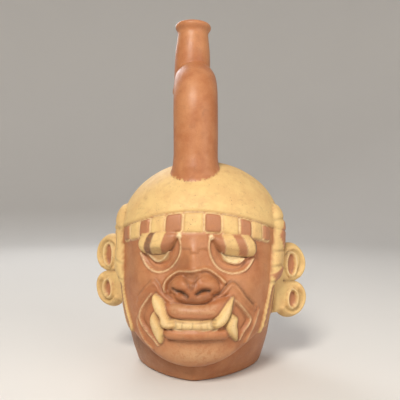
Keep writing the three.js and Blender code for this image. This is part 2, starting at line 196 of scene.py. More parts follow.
def closed_skin(name, columns, rows, place):
    """A closed skin from a grid: place(round, along) gives its points in millimetres and their coats."""
    shape = bmesh.new()
    bmesh.ops.create_grid(shape, x_segments=columns, y_segments=rows, size=0.5)
    mesh = bpy.data.meshes.new(name)
    shape.to_mesh(mesh)
    flat = points_of(mesh) + 0.5
    points, coats = place(np.clip(flat[:, 0], 0, 1), np.clip(flat[:, 1], 0, 1))
    mesh.vertices.foreach_set("co", (points * MM).ravel())
    for coat in COATS:
        store(mesh, coat, coats.get(coat, np.zeros(len(points))))
    store(mesh, "modelled", np.ones(len(points)))
    shape.clear()
    shape.from_mesh(mesh)
    bmesh.ops.remove_doubles(shape, verts=shape.verts, dist=1e-3 * MM)
    bmesh.ops.holes_fill(shape, edges=[e for e in shape.edges if e.is_boundary], sides=0)
    bmesh.ops.recalc_face_normals(shape, faces=shape.faces)
    if shape.calc_volume(signed=True) < 0:
        bmesh.ops.reverse_faces(shape, faces=shape.faces)
    shape.to_mesh(mesh)
    shape.free()
    piece = bpy.data.objects.new(name, mesh)
    bpy.context.scene.collection.objects.link(piece)
    return piece


def combine(piece, tool, operation):
    """Joins tool to piece, or cuts it away, and removes tool."""
    modifier = piece.modifiers.new(operation, "BOOLEAN")
    modifier.object = tool
    modifier.operation = operation
    modifier.solver = "MANIFOLD"
    graph = bpy.context.evaluated_depsgraph_get()
    made = bpy.data.meshes.new_from_object(
        piece.evaluated_get(graph), preserve_all_data_layers=True, depsgraph=graph
    )
    piece.modifiers.clear()
    piece.data = made
    bpy.data.objects.remove(tool)
    if not made.polygons:
        raise RuntimeError("the " + operation.lower() + " left nothing of " + piece.name)


def blend_seams(piece, rings, rounds):
    """Spreads the coats over the points of new seams and softens the clay there, rings of points wide."""
    mesh = piece.data
    edges = edges_of(mesh)
    known = values_of(mesh, "modelled")
    fresh = known < 0.5
    total = np.zeros(len(known))
    np.add.at(total, edges[:, 0], known[edges[:, 1]])
    np.add.at(total, edges[:, 1], known[edges[:, 0]])
    for coat in COATS:
        values = values_of(mesh, coat)
        spread = np.zeros(len(values))
        np.add.at(spread, edges[:, 0], (values * known)[edges[:, 1]])
        np.add.at(spread, edges[:, 1], (values * known)[edges[:, 0]])
        values[fresh] = (spread / np.maximum(total, 1))[fresh]
        store(mesh, coat, values)
    chosen = fresh.copy()
    for _ in range(rings):
        touched = chosen[edges[:, 0]] | chosen[edges[:, 1]]
        chosen[edges[touched].ravel()] = True
    shape = bmesh.new()
    shape.from_mesh(mesh)
    shape.verts.ensure_lookup_table()
    soft = [shape.verts[i] for i in np.flatnonzero(chosen)]
    every_way = {"use_axis_x": True, "use_axis_y": True, "use_axis_z": True}
    for _ in range(rounds):
        bmesh.ops.smooth_vert(shape, verts=soft, factor=0.5, **every_way)
    shape.to_mesh(mesh)
    shape.free()
    store(mesh, "modelled", np.ones(len(mesh.vertices)))


def uneven(points, size, seed):
    """Soft noise from -1 to 1 at each point; size is the width of its swells in millimetres."""
    shift = Vector((seed * 17.3, seed * 5.1, seed * 11.7))
    return np.array([noise.noise(Vector(p) / size + shift) for p in points])


# ------------------------------------------------------------------ drawing on the flat pattern

def ease(low, high, value):
    """A soft step from 0 at low to 1 at high."""
    share = np.clip((value - low) / (high - low), 0, 1)
    return share * share * (3 - 2 * share)


def curve_through(a, b, c, d, t):
    """The place a share t of the way from b to c, on a smooth curve that comes from a and goes on to d."""
    return (2 * b + (c - a) * t + (2 * a - 5 * b + 4 * c - d) * t**2 + (3 * b - a - 3 * c + d) * t**3) / 2


def trail(points, steps=7):
    """A smooth line through the points."""
    ends = np.array([points[0], *points, points[-1]], dtype=float)
    line = [ends[1]]
    for a, b, c, d in zip(ends, ends[1:], ends[2:], ends[3:]):
        for t in np.linspace(0, 1, steps + 1)[1:]:
            line.append(curve_through(a, b, c, d, t))
    return np.array(line)


def distance_to(x, y, line):
    """Distance from each point to a line, and how far along the line its nearest point is, from 0 to 1."""
    start, end = line[:-1], line[1:]
    step = end - start
    reach = np.maximum((step**2).sum(1), 1e-12)
    share = ((x[:, None] - start[:, 0]) * step[:, 0] + (y[:, None] - start[:, 1]) * step[:, 1]) / reach
    share = np.clip(share, 0, 1)
    away = np.hypot(
        x[:, None] - start[:, 0] - share * step[:, 0], y[:, None] - start[:, 1] - share * step[:, 1]
    )
    nearest = away.argmin(1)
    row = np.arange(len(x))
    return away[row, nearest], (nearest + share[row, nearest]) / len(start)


def inside(x, y, outline):
    """Whether each point is inside a closed outline."""
    within = np.zeros(len(x), dtype=bool)
    for (ax, ay), (bx, by) in zip(outline, np.roll(outline, -1, axis=0)):
        crosses = (ay > y) != (by > y)
        within ^= crosses & (x < ax + (bx - ax) * (y - ay) / (by - ay if by != ay else 1e-9))
    return within


class Sketch:
    """Clay laid out flat: each point's place across and up, its lift, its sideways push and its coats."""

    def __init__(self, across, up):
        self.across, self.up = across, up
        count = len(across)
        self.ground = np.zeros(count)
        self.laid = np.zeros(count)
        self.cut = np.zeros(count)
        self.push = np.zeros((count, 2))
        self.coats = {coat: np.zeros(count) for coat in COATS}
        self.everywhere = np.arange(count)

    def near(self, line, reach):
        """The points no further than reach from the line's box."""
        (left, low), (right, high) = line.min(0) - reach, line.max(0) + reach
        chosen = (self.across > left) & (self.across < right) & (self.up > low) & (self.up < high)
        return np.flatnonzero(chosen)

    def paint(self, chosen, coat, share):
        """Lays a coat over what is there: the other slips give way to it."""
        share = np.clip(share, 0, 1)
        if coat in ("cream", "red", "brown"):
            for other in ("cream", "red", "brown", "pale"):
                self.coats[other][chosen] *= 1 - share
        self.coats[coat][chosen] = np.maximum(self.coats[coat][chosen], share)

    def cover(self, coat, share):
        """Lays a coat over the whole sketch."""
        self.paint(self.everywhere, coat, share)

    def swell(self, x, y, wide, tall, rise):
        """A soft swelling of the ground, or a hollow where rise is negative."""
        self.ground += rise * np.exp(-(((self.across - x) / wide) ** 2) - ((self.up - y) / tall) ** 2)

    def dome(self, x, y, wide, tall, rise):
        """A round swelling with a clear edge."""
        away = ((self.across - x) / wide) ** 2 + ((self.up - y) / tall) ** 2
        self.laid = np.maximum(self.laid, rise * np.sqrt(np.clip(1 - away, 0, 1)))
        return away

    def fold(self, points, width, height, taper=None, sharp=1.0, coat=None, strength=1.0):
        """A raised fold along a line. Its sides are steeper where sharp is under 1."""
        line = trail(points)
        chosen = self.near(line, width)
        away, along = distance_to(self.across[chosen], self.up[chosen], line)
        size = np.ones(len(along)) if taper is None else taper(along)
        section = np.clip(1 - (away / (width / 2 * size)) ** 2, 0, 1) ** sharp
        self.laid[chosen] = np.maximum(self.laid[chosen], height * np.maximum(size, 0.4) * section)
        if coat:
            self.paint(chosen, coat, strength * ease(0.1, 0.6, section))
        return chosen, away, along

    def groove(self, points, width, depth, stain_and_shade=0.0):
        """A line cut into the clay. Painted shade, with some dirt, darkens it along its hollow."""
        line = trail(points)
        chosen = self.near(line, width * 2)
        away, along = distance_to(self.across[chosen], self.up[chosen], line)
        ends = ease(0, 0.08, along) * ease(0, 0.08, 1 - along)
        section = np.exp(-((away / (width / 2)) ** 2)) * ends
        self.cut[chosen] += depth * section
        # Painted shade: the groove is darkened where shade falls in it, with some dirt as well.
        self.paint(chosen, "smoke_and_shade", stain_and_shade * section)

    def line(self, points, width, coat, strength=1.0):
        """A painted line."""
        way = trail(points)
        chosen = self.near(way, width)
        away, _ = distance_to(self.across[chosen], self.up[chosen], way)
        self.paint(chosen, coat, strength * ease(width / 2 + 0.35, width / 2 - 0.35, away))

    def plate(self, outline, height, edge, overhang=0.0, coat=None, slope=None):
        """A raised plate with a rounded edge, which may hang over at its lower side, with a dark line of
        painted shadow under the overhang.
        """
        line = trail([*outline, outline[0]], steps=5)
        chosen = self.near(line, edge + 2)
        x, y = self.across[chosen], self.up[chosen]
        away, _ = distance_to(x, y, line)
        depth = np.where(inside(x, y, line[:-1]), away, -away)
        rise = np.sqrt(np.clip(1 - (1 - np.clip(depth / edge, 0, 1)) ** 2, 0, 1))
        level = height if slope is None else height * slope(x, y)
        self.laid[chosen] = np.maximum(self.laid[chosen], level * rise)
        if overhang:
            centre = line.mean(0)
            lower = ease(0.2, -0.6, (y - centre[1]) / (line[:, 1].max() - centre[1]))
            lip = np.exp(-((depth / 1.1) ** 2)) * lower
            self.push[chosen, 1] -= overhang * lip
            # Painted shadow: a dark line just below the overhanging lower edge.
            self.paint(chosen, "smoke_and_shade", 0.85 * np.exp(-(((depth + 0.5) / 0.6) ** 2)) * lower)
        if coat:
            self.paint(chosen, coat, ease(-0.3, 0.4, depth))
        return chosen, depth


# ------------------------------------------------------------------ the form of the head

def skin(azimuth, level):
    """The smooth outside of the head. Azimuth is 0 at the face and grows towards +X."""
    across, ahead = np.sin(azimuth), np.cos(azimuth)
    forward = np.maximum(ahead, 0) ** 3
    whole = np.clip(level, 0, TOP_RING)
    i = np.minimum(whole.astype(int), TOP_RING - 1)
    s = (whole - i)[:, None]
    a, b, c, d = (RINGS[np.clip(i + k, 0, TOP_RING)] for k in (-1, 0, 1, 2))
    ring = curve_through(a, b, c, d, s)
    square = (b + (c - b) * s)[:, 5]
    rise = np.clip(level - TOP_RING, 0, 1) * math.pi / 2
    z = ring[:, 1] + (ring[:, 0] - ring[:, 1]) * forward + CROWN_RISE * np.sin(rise)
    side, front, back = (np.maximum(ring[:, k] * np.cos(rise), 1e-6) for k in (2, 3, 4))
    depth = np.where(ahead >= 0, front, back)
    power = np.where(ahead >= 0, square - 0.2 * np.sin(rise), BACK_SQUARE)
    radius = (np.abs(across / side) ** power + np.abs(ahead / depth) ** power) ** (-1 / power)
    drift = LEAN * (z - LEAN_CENTRE)
    return np.stack([drift + radius * across, -radius * ahead, z], axis=1)


def directions(azimuth, level):
    """Unit vectors of the skin: round the head, up it and straight out of it."""
    nudge = 1e-3
    low, high = np.maximum(level - nudge, 0), np.minimum(level + nudge, CROWN_RING)
    sideways = skin(azimuth + nudge, level) - skin(azimuth - nudge, level)
    upwards = skin(azimuth, high) - skin(azimuth, low)
    upwards /= np.maximum(np.linalg.norm(upwards, axis=1, keepdims=True), 1e-9)
    out = np.cross(sideways, upwards)
    size = np.linalg.norm(out, axis=1, keepdims=True)
    out = np.where(size < 1e-5, (0, 0, 1), out / np.maximum(size, 1e-12))
    return np.cross(upwards, out), upwards, out


# Edges that run round the head: the height at the brow, the drop from there to the ears,
# the height behind the ears and the rise from there to the back.
CAP_RIM = (102.4, 13.9, 88.5, 4)
BAND_FOOT = (90.4, 11.4, 79, 3)


def height_of(edge, azimuth):
    """Height of an edge that runs round the head."""
    brow, drop, ear, rise = edge
    front = brow - drop * np.sin(azimuth) ** 2
    back = ear + rise * np.cos(azimuth) ** 2
    return np.where(np.cos(azimuth) > 0, front, back)


CAP_THICKNESS, BAND_THICKNESS = 1.5, 0.8
BLOCK_SHAPES = {"red": (1.6, 0.75, 2.0), "cream": (0.8, 0.35, 1.7)}  # corner radius, inset and height
# Edges between the blocks of the band, in degrees round the head; red and cream blocks take turns.
FRONT_BLOCKS = (-56, -47, -38, -28.5, -19, -7, 5.5, 17, 27.5, 37, 45.5, 54)
BACK_BLOCKS = tuple(95 + i * 170 / 7 for i in range(8))


def lay_cap_and_band(sheet, azimuth):
    """The cap with its rim, and the band of blocks under it, all round the head."""
    rim, foot = height_of(CAP_RIM, azimuth), height_of(BAND_FOOT, azimuth)
    up = sheet.up
    capped = ease(-0.5, 1.1, up - rim)
    sheet.laid = np.maximum(sheet.laid, CAP_THICKNESS * capped)
    sheet.cover("cream", ease(-0.3, 0.5, up - rim))
    sheet.cut += 0.7 * np.exp(-(((up - rim + 0.3) / 0.6) ** 2))
    # Painted shade: a dark line just under the cap's rim, where it overhangs the band.
    sheet.cover("smoke_and_shade", 0.25 * np.exp(-(((up - rim + 0.4) / 0.5) ** 2)))
    banded = ease(-0.6, 0.5, up - foot) * ease(-0.2, 0.3, rim - up)
    sheet.laid = np.maximum(sheet.laid, BAND_THICKNESS * banded)
    for edges, coats in ((FRONT_BLOCKS, ("red", "cream")), (BACK_BLOCKS, ("cream", "red"))):
        for order, (start, end) in enumerate(zip(edges, edges[1:])):
            lay_block(sheet, azimuth, (start, end), (rim, foot), coats[order % 2])


def lay_block(sheet, azimuth, sides, ends, coat):
    """One block of the band, with round corners and a pale edge. A red block has a cream frame."""
    (start, end), (rim, foot) = sides, ends
    corner, inset, height = BLOCK_SHAPES[coat]
    middle, half = (start + end) / 2, math.radians(end - start) / 2 * GIRTH
    across = np.radians((np.degrees(azimuth) - middle + 180) % 360 - 180) * GIRTH
    beside = np.abs(across) - half + inset + corner
    above = np.abs(sheet.up - (rim + foot) / 2) - (rim - foot) / 2 + inset + corner
    past_corner = np.hypot(np.maximum(beside, 0), np.maximum(above, 0))
    depth = corner - (past_corner + np.minimum(np.maximum(beside, above), 0))
    sheet.laid = np.maximum(sheet.laid, height * ease(-0.5, 0.9, depth))
    if coat == "red":
        sheet.cover("cream", ease(-0.9, -0.5, depth))
    sheet.cover(coat, ease(-0.3, 0.3, depth))
    edge = np.exp(-(((depth + 0.35) / 0.4) ** 2))
    sheet.cover("pale", 0.7 * edge * (np.cos(azimuth) > 0))


def model_brow(face):
    """The two striped pads of the brow, with a bead beside each at the bridge."""
    left = [
        (-30.6, 89.2), (-32.2, 85), (-31.9, 81), (-29.2, 78.7), (-22.7, 78.8), (-18.3, 79.5),
        (-14.6, 81.2), (-11.4, 84), (-9, 87.5), (-9.4, 90.4), (-15.7, 90.9), (-23, 90.4),
    ]
    right = [
        (11.6, 89.2), (20, 89.2), (30, 88.8), (34.3, 86), (35.6, 82), (35.3, 78.9), (33.3, 77),
        (27.5, 77.6), (20.5, 78.6), (16, 80.2), (12.9, 83), (11, 86.6),
    ]
    # leaning edges of the stripes: x at z 90 and at z 80, from the left, and the coat that starts there
    left_stripes = [
        (-40, -42, "cream"), (-25.4, -28, "brown"), (-21.7, -24.4, "cream"), (-15.7, -18.8, "red"),
    ]
    right_stripes = [
        (5, 5, "red"), (16, 18.4, "cream"), (21.4, 25.4, "red"), (26.4, 29.9, "cream"), (31, 33.6, "brown"),
    ]

    def thicker_below(_, y):
        return 0.72 + 0.28 * ease(89, 82.5, y)

    for outline, stripes in ((left, left_stripes), (right, right_stripes)):
        chosen, depth = face.plate(outline, 5.6, 3.4, overhang=1.5, slope=thicker_below)
        x, y = face.across[chosen], face.up[chosen]
        laid = ease(-0.2, 0.4, depth)
        for top, bottom, coat in stripes:
            edge = bottom + (top - bottom) * (y - 80) / 10
            share = ease(-0.35, 0.35, x - edge) * laid
            face.paint(chosen, coat, share)
            face.paint(chosen, "pale", 0.35 * laid * np.exp(-(((x - edge) / 0.5) ** 2)) * (coat == "cream"))
    for x, z in ((-7.9, 88.6), (10.2, 87.8)):
        bead = face.dome(x, z, 1.7, 1.9, 2.4)
        face.cover("pale", ease(1, 0.3, bead))


def model_bridge(face):
    """The stepped ornament between the brows."""
    left, right, low, top = -7.2, 8.3, 80.9, 90.6
    tab_left, tab_right, tab_low = -1.6, 3.1, 78.7
    x, y = face.across, face.up
    block = np.minimum(np.minimum(x - left, right - x), np.minimum(y - low, top - y))
    tab = np.minimum(np.minimum(x - tab_left, tab_right - x), np.minimum(y - tab_low, low + 2 - y))
    depth = np.maximum(block, tab)
    face.laid = np.maximum(face.laid, 1.3 * ease(-0.3, 0.7, depth))
    face.cover("red", 0.3 * ease(-0.2, 0.4, depth))


def model_eyes(face):
    """The eyeballs with their lids, the crease round each, and the raised ring round that."""
    rings = (
        [
            (-8, 87), (-7.3, 83), (-7.9, 78.2), (-10, 74.1), (-12.4, 71), (-15.9, 68.5), (-20.5, 67.3),
            (-25, 68.2), (-28.8, 70.8), (-31.1, 74.2), (-32.5, 77.4),
        ],
        [
            (9.4, 87), (9, 83), (9.3, 79.3), (10.8, 75.1), (13.1, 71.6), (16.2, 69), (20.4, 67.3),
            (24.8, 66.9), (29.4, 68), (32.7, 71), (34.8, 74.6),
        ],
    )
    lids = (
        [(-27.5, 78.5), (-26, 75.8), (-24, 74), (-21.6, 73.3), (-18.9, 74.5), (-16.4, 77), (-14.6, 79.8)],
        [(16, 79.4), (17, 77.4), (18.5, 75.4), (20.8, 73.6), (24.2, 72.6), (27.4, 73), (29.4, 75)],
    )
    creases = (
        [(-29.4, 77), (-28.2, 73.6), (-25, 70.8), (-21, 70), (-16.6, 71.4), (-12.8, 75.2), (-10.6, 80)],
        [(12.4, 80), (13.9, 75.6), (17, 71.8), (21.4, 69.8), (26, 69.8), (29.8, 72), (31.6, 75)],
    )
    for (x, z), wide in (((-20.8, 78.6), 7.4), ((22.6, 78.2), 7.6)):
        face.dome(x, z, wide, 6, 2.6)
    white = ((face.across - 23.4) / 6.6) ** 2 + ((face.up - 77.4) / 5) ** 2
    face.cover("cream", 0.9 * ease(1.1, 0.8, white))
    face.cover("pale", 0.75 * ease(1.1, 0.8, white))
    dull = ((face.across + 21) / 6.4) ** 2 + ((face.up - 77.5) / 4.4) ** 2
    face.cover("cream", 0.55 * ease(1.1, 0.8, dull))
    face.cover("smoke_and_shade", 0.3 * ease(1.1, 0.8, dull))
    for ring, lid, crease in zip(rings, lids, creases):
        face.fold(ring, 2.3, 1.3, sharp=0.8)
        face.line(ring, 0.9, "pale", 0.75)
        inner = np.array(ring) + (np.array([ring[5][0], 78]) - np.array(ring)) * 0.14
        face.groove([tuple(p) for p in inner], 1.4, 0.6, 0.25)
        face.fold(lid, 1.7, 3.0, sharp=0.8)
        face.line(lid, 1.0, "pale", 0.85)
        face.fold(crease, 1.6, 0.45)
    face.groove([(18.6, 76.6), (22, 75.2), (26, 75.4), (29, 77)], 0.9, 0.4, 0.3)


def model_nose(face):
    """The broad nose with its wings and nostrils, and the fold that runs round it."""
    face.dome(-6.8, 59.6, 6.3, 5.2, 5.0)
    face.dome(8.3, 60, 6.5, 5.4, 5.0)
    face.dome(0.5, 57, 4.6, 5.4, 4.6)
    face.dome(0.6, 54.6, 10.8, 4.4, 4.6)
    fold = [
        (-16, 56.4), (-16.4, 59.5), (-15.2, 62.8), (-12.6, 65.6), (-9, 67.8), (-4.7, 68.3), (0, 68.2),
        (4.6, 69.3), (7.9, 69.6), (11.4, 67.8), (14.8, 65.2), (17.9, 62),
    ]
    face.fold(fold, 2.6, 1.7, sharp=0.8)
    face.line(fold, 0.8, "pale", 0.55)
    face.groove([(-14.2, 57), (-14.2, 60.6), (-12, 64), (-8, 66.4), (-4, 66.9)], 1.5, 0.8, 0.4)
    face.groove([(4, 67.6), (7.6, 68), (10.8, 66.2), (14.2, 63.4), (15.6, 60.2)], 1.5, 0.8, 0.4)
    left_wing = [
        (-12.9, 57), (-12.9, 60), (-11.2, 62.7), (-8, 63.9), (-5, 63.4), (-2.6, 61), (-0.4, 58.2),
    ]
    right_wing = [
        (0.4, 58.2), (1.6, 61.2), (3.6, 63.6), (6, 64.8), (8.6, 64.9), (11, 63.9), (12.9, 62.2),
        (14, 59.6), (13.4, 57),
    ]
    face.fold(left_wing, 1.5, 3.2)
    face.fold(right_wing, 1.5, 3.2)
    face.groove([(-5, 66.4), (-3, 62.6), (-0.5, 58.4), (1.4, 62.4), (3, 66.2)], 2.2, 1.2, 0.45)
    face.swell(-1, 64.4, 2.6, 2.6, -1.6)
    for slit in (
        [(-11.6, 58.8), (-8.8, 57.4), (-6.2, 57), (-3.8, 55.4), (-1.8, 53.8)],
        [(1.8, 55.2), (3.6, 56.6), (5.8, 57.9), (8, 57.9), (9.8, 57.2)],
    ):
        # Painted shade: the nostril slits are darkened almost to the soot colour.
        face.groove(slit, 1.9, 2.6, 0.95)
    for hole in ((-6.8, 56.6), (6.2, 57.2)):
        face.swell(hole[0], hole[1], 1.9, 1.2, -1.8)


def patch(face, left, right, low, high):
    """A patch of the face, from 0 outside it to 1 within. Each side is where it starts and ends."""
    x, y = face.across, face.up
    return ease(*low, y) * ease(*high, y) * ease(*left, x) * ease(*right, x)


def model_mouth(face):
    """The lips, the gums and the row of teeth between them."""
    lip_top = [(-14, 47.4), (-8, 46.3), (0.8, 46), (8, 46.2), (13, 47.8), (18.6, 50.4), (21.4, 53)]
    lip_foot = [(-15.5, 33.6), (-8, 33.2), (1, 33.2), (11, 33.2), (19.4, 33.4)]
    crease = [(-13, 50.8), (-7, 50.3), (0, 50.4), (6.4, 50.6), (10.4, 52.6), (16, 54.2), (20.4, 55)]

    def upper_taper(t):
        return 0.7 + 0.3 * ease(0, 0.2, t) - 0.5 * ease(0.72, 1, t)

    def lower_taper(t):
        return 0.6 + 0.4 * ease(0, 0.1, t) * ease(1, 0.92, t)

    face.fold(lip_top, 8.6, 3.6, taper=upper_taper, sharp=0.5)
    face.groove([(-12.4, 45.1), (-4, 45.2), (4, 45.2), (12, 45)], 1.1, 0.45, 0.1)
    face.groove(crease, 1.2, 0.7, 0.3)
    face.cover("red", 0.55 * patch(face, (-15, -13), (15, 13), (41.6, 42.2), (45.6, 44.8)))
    # Painted light: the upper lip's top facet, which faces the light, is laid paler.
    face.cover("pale", 0.18 * patch(face, (-13, -11), (14, 11), (45, 45.6), (50.6, 49.8)))
    gums = patch(face, (-14, -13), (14, 13), (40.2, 40.6), (42.2, 41.8))
    teeth = patch(face, (-14, -13), (14, 13), (36.1, 36.7), (40.7, 40.1))
    face.laid = np.maximum(face.laid, 1.1 * gums + 1.9 * teeth)
    face.cover("cream", np.maximum(teeth, 0.8 * gums))
    face.cover("pale", 0.45 * teeth)
    face.groove([(-13, 40.4), (0, 40.6), (13, 40.5)], 0.7, 0.6, 0.35)
    face.groove([(-13, 42.1), (0, 42.3), (13, 42.2)], 0.9, 0.8, 0.65)
    for gap in (-5.6, 0.1, 4.7, 7.9):
        face.groove([(gap, 40.6), (gap, 38.6), (gap, 36.4)], 0.7, 0.6, 0.3)
    face.fold(lip_foot, 6.6, 3.6, taper=lower_taper, sharp=0.5)
    face.groove([(-13, 36.4), (0, 36.8), (13, 36.5)], 0.9, 0.8, 0.6)
    face.groove([(-15, 29.7), (0, 30.2), (18, 29.8)], 1.3, 0.8, 0.35)
    # Painted shade: the lower half of the lower lip, which turns under, is laid darker with the red slip.
    face.cover("red", 0.3 * patch(face, (-17, -15), (20.5, 19), (30, 31), (33.6, 32.8)))


def model_fangs(face):
    """Four fangs that cross the lips at the corners of the mouth."""
    upper_left = [
        (-21.2, 55.4), (-19, 54), (-16.9, 52.4), (-15.6, 50), (-14.4, 47.4), (-13.4, 44.4), (-11.6, 41.9),
        (-9.3, 40.6), (-9.1, 38), (-11.6, 36.6), (-15.6, 36.6), (-17.6, 39), (-18.1, 42), (-20.6, 45),
        (-22.4, 49.4), (-22.5, 53),
    ]
    upper_right = [
        (22, 54.2), (20, 52.8), (17.6, 50.4), (15.4, 47.4), (13.4, 44.4), (11, 42), (10.2, 39.6),
        (11.8, 37.6), (14.6, 37.6), (17, 39), (19, 41.6), (20.6, 45), (21.4, 49),
    ]
    lower_left = [
        (-22, 45.2), (-24, 41.8), (-24.1, 38), (-22.6, 33.4), (-20.4, 29.3), (-18.2, 26.8), (-16.8, 28.8),
        (-16.1, 33), (-16.6, 37), (-19, 41),
    ]
    lower_right = [
        (20.8, 44.9), (24.5, 42), (24.2, 38), (24.7, 33.6), (24.3, 28), (21, 31), (18.8, 34.6),
        (17.8, 38.6),
    ]
    for outline, height in ((lower_left, 3.4), (lower_right, 3.4), (upper_left, 4.8), (upper_right, 4.8)):
        chosen, depth = face.plate(outline, height, 2.6, coat="cream")
        # Painted shade: a dark line round the foot of each fang, where it rises from the face.
        face.paint(chosen, "smoke_and_shade", 0.45 * np.exp(-(((depth + 0.45) / 0.5) ** 2)))
        face.paint(chosen, "pale", 0.45 * ease(1.4, 2.4, depth))


def model_cheeks(face):
    """The folds that rise from the nose and fall to the jaw, and the raised lines round the mouth."""
    left_peak = [(-11, 52.2), (-15.2, 55), (-18, 57.8), (-20, 61.2), (-23.2, 63.5)]
    left_fall = [(-23.2, 63.5), (-27.7, 58.8), (-33.3, 52)]
    right_peak = [(10.6, 54.4), (14.9, 55.8), (17.4, 58.4), (20, 61.4), (22.8, 62.5)]
    right_fall = [(22.8, 62.5), (25.6, 60), (29.7, 53.8), (36, 46.8)]
    for line, shift, depth in (
        (left_peak, (-0.9, -1.4), 0.8), (left_fall, (0.9, -1.3), 0.5),
        (right_peak, (0.9, -1.4), 1.2), (right_fall, (-0.9, -1.3), 1.2),
    ):
        face.groove(line, 1.5, depth, 0.45 * depth)
        face.fold([(x + shift[0], z + shift[1]) for x, z in line], 3.0, 1.1)
    soft = [(-33.6, 47.6), (-31.6, 51), (-28, 54), (-24.7, 56.1), (-21, 57.6)]
    face.fold(soft, 2.6, 0.6)
    left_diamond = [
        (-23.4, 54.6), (-27.5, 49.7), (-30.3, 45.6), (-31.7, 40.4), (-30, 35.9), (-25.8, 31.4),
        (-22.4, 28.2), (-20.2, 25.6),
    ]
    right_diamond = [
        (20.6, 53.6), (24.5, 50.5), (28, 46.7), (30.9, 42.6), (32.3, 39.8), (30.6, 36), (28, 32.7),
        (25.9, 28.6),
    ]
    left_outer = [(-32.8, 40.5), (-33.8, 36.6), (-32.6, 32.8), (-30.4, 28.4), (-27.4, 25), (-24, 22.6)]
    right_outer = [(37.6, 44), (36.3, 39.6), (34.9, 35.8), (33.3, 32.4), (31.6, 29), (30, 26)]
    for line in (left_diamond, right_diamond):
        face.fold(line, 2.0, 1.3, sharp=0.8)
        face.line(line, 0.8, "pale", 0.7)
    for line in (left_outer, right_outer):
        face.fold(line, 1.9, 0.9)
        face.line(line, 0.7, "pale", 0.45)
    beside_fang = [(22.9, 51.6), (21.9, 48), (21.1, 45.4)]
    face.fold(beside_fang, 1.3, 1.0)
    face.line(beside_fang, 0.6, "pale", 0.5)
    for line in (
        [(-21.6, 53.4), (-25.8, 48.6), (-28.2, 44.6), (-29.4, 40.4), (-28, 36.8), (-24.6, 33.4)],
        [(23.4, 49.6), (26.6, 45.8), (29.4, 41.8), (30.4, 39.6), (28.9, 36.8), (26.8, 34)],
    ):
        face.groove(line, 1.6, 0.7, 0.25)


# Swellings and hollows under the features: across, up, width, height and rise.
GROUND_FORMS = (
    (-19.5, 76, 10, 8, -4), (22.5, 75.5, 10.5, 8.5, -4), (0.5, 74, 5.5, 11, 4.5), (0.8, 62, 9, 7, 4),
    (-26, 58, 9, 7, 2), (27, 57, 9, 7, 2), (1, 41, 21, 11, 3.5), (1, 22, 15, 7, 1.5),
)
# Smoky stains on the face, partly painted shade under and beside the nose and along its left side: across,
# up, width, height and strength.
STAINS_AND_SHADE = (
    (-9, 72, 7, 5, 0.32), (-1, 66, 5, 3, 0.4), (-24, 62, 9, 6, 0.16), (-2, 52.5, 9, 1.6, 0.35),
    (-13, 60, 3, 6, 0.2), (7, 53.6, 6, 2, 0.25), (-38, 70, 5, 16, 0.22), (26, 60.5, 4, 3, 0.15),
    (-6, 80, 5, 5, 0.1),
)


def model_face(face, share):
    """Everything modelled on the front of the head. Share fades the ground out towards the ears."""
    for form in GROUND_FORMS:
        face.swell(*form)
    face.ground *= share
    model_eyes(face)
    model_bridge(face)
    model_brow(face)
    model_nose(face)
    model_cheeks(face)
    model_mouth(face)
    model_fangs(face)
    # Smoky stains and painted shade, kept off the cream slip.
    for x, z, wide, tall, stain_and_shade in STAINS_AND_SHADE:
        spot = np.exp(-(((face.across - x) / wide) ** 2) - ((face.up - z) / tall) ** 2)
        face.coats["smoke_and_shade"] = np.maximum(face.coats["smoke_and_shade"], stain_and_shade * spot * (1 - face.coats["cream"]))
    # Painted highlight: a pale patch on the chin, where the light falls on its bulge.
    chin = np.exp(-(((face.across - 2) / 17) ** 2) - ((face.up - 21) / 6) ** 2)
    face.cover("pale", 0.28 * chin)


def strap_taper(along):
    """The straps run full width past the eyes and narrow towards their ends."""
    return 1 - 0.58 * ease(0.42, 0.66, along)


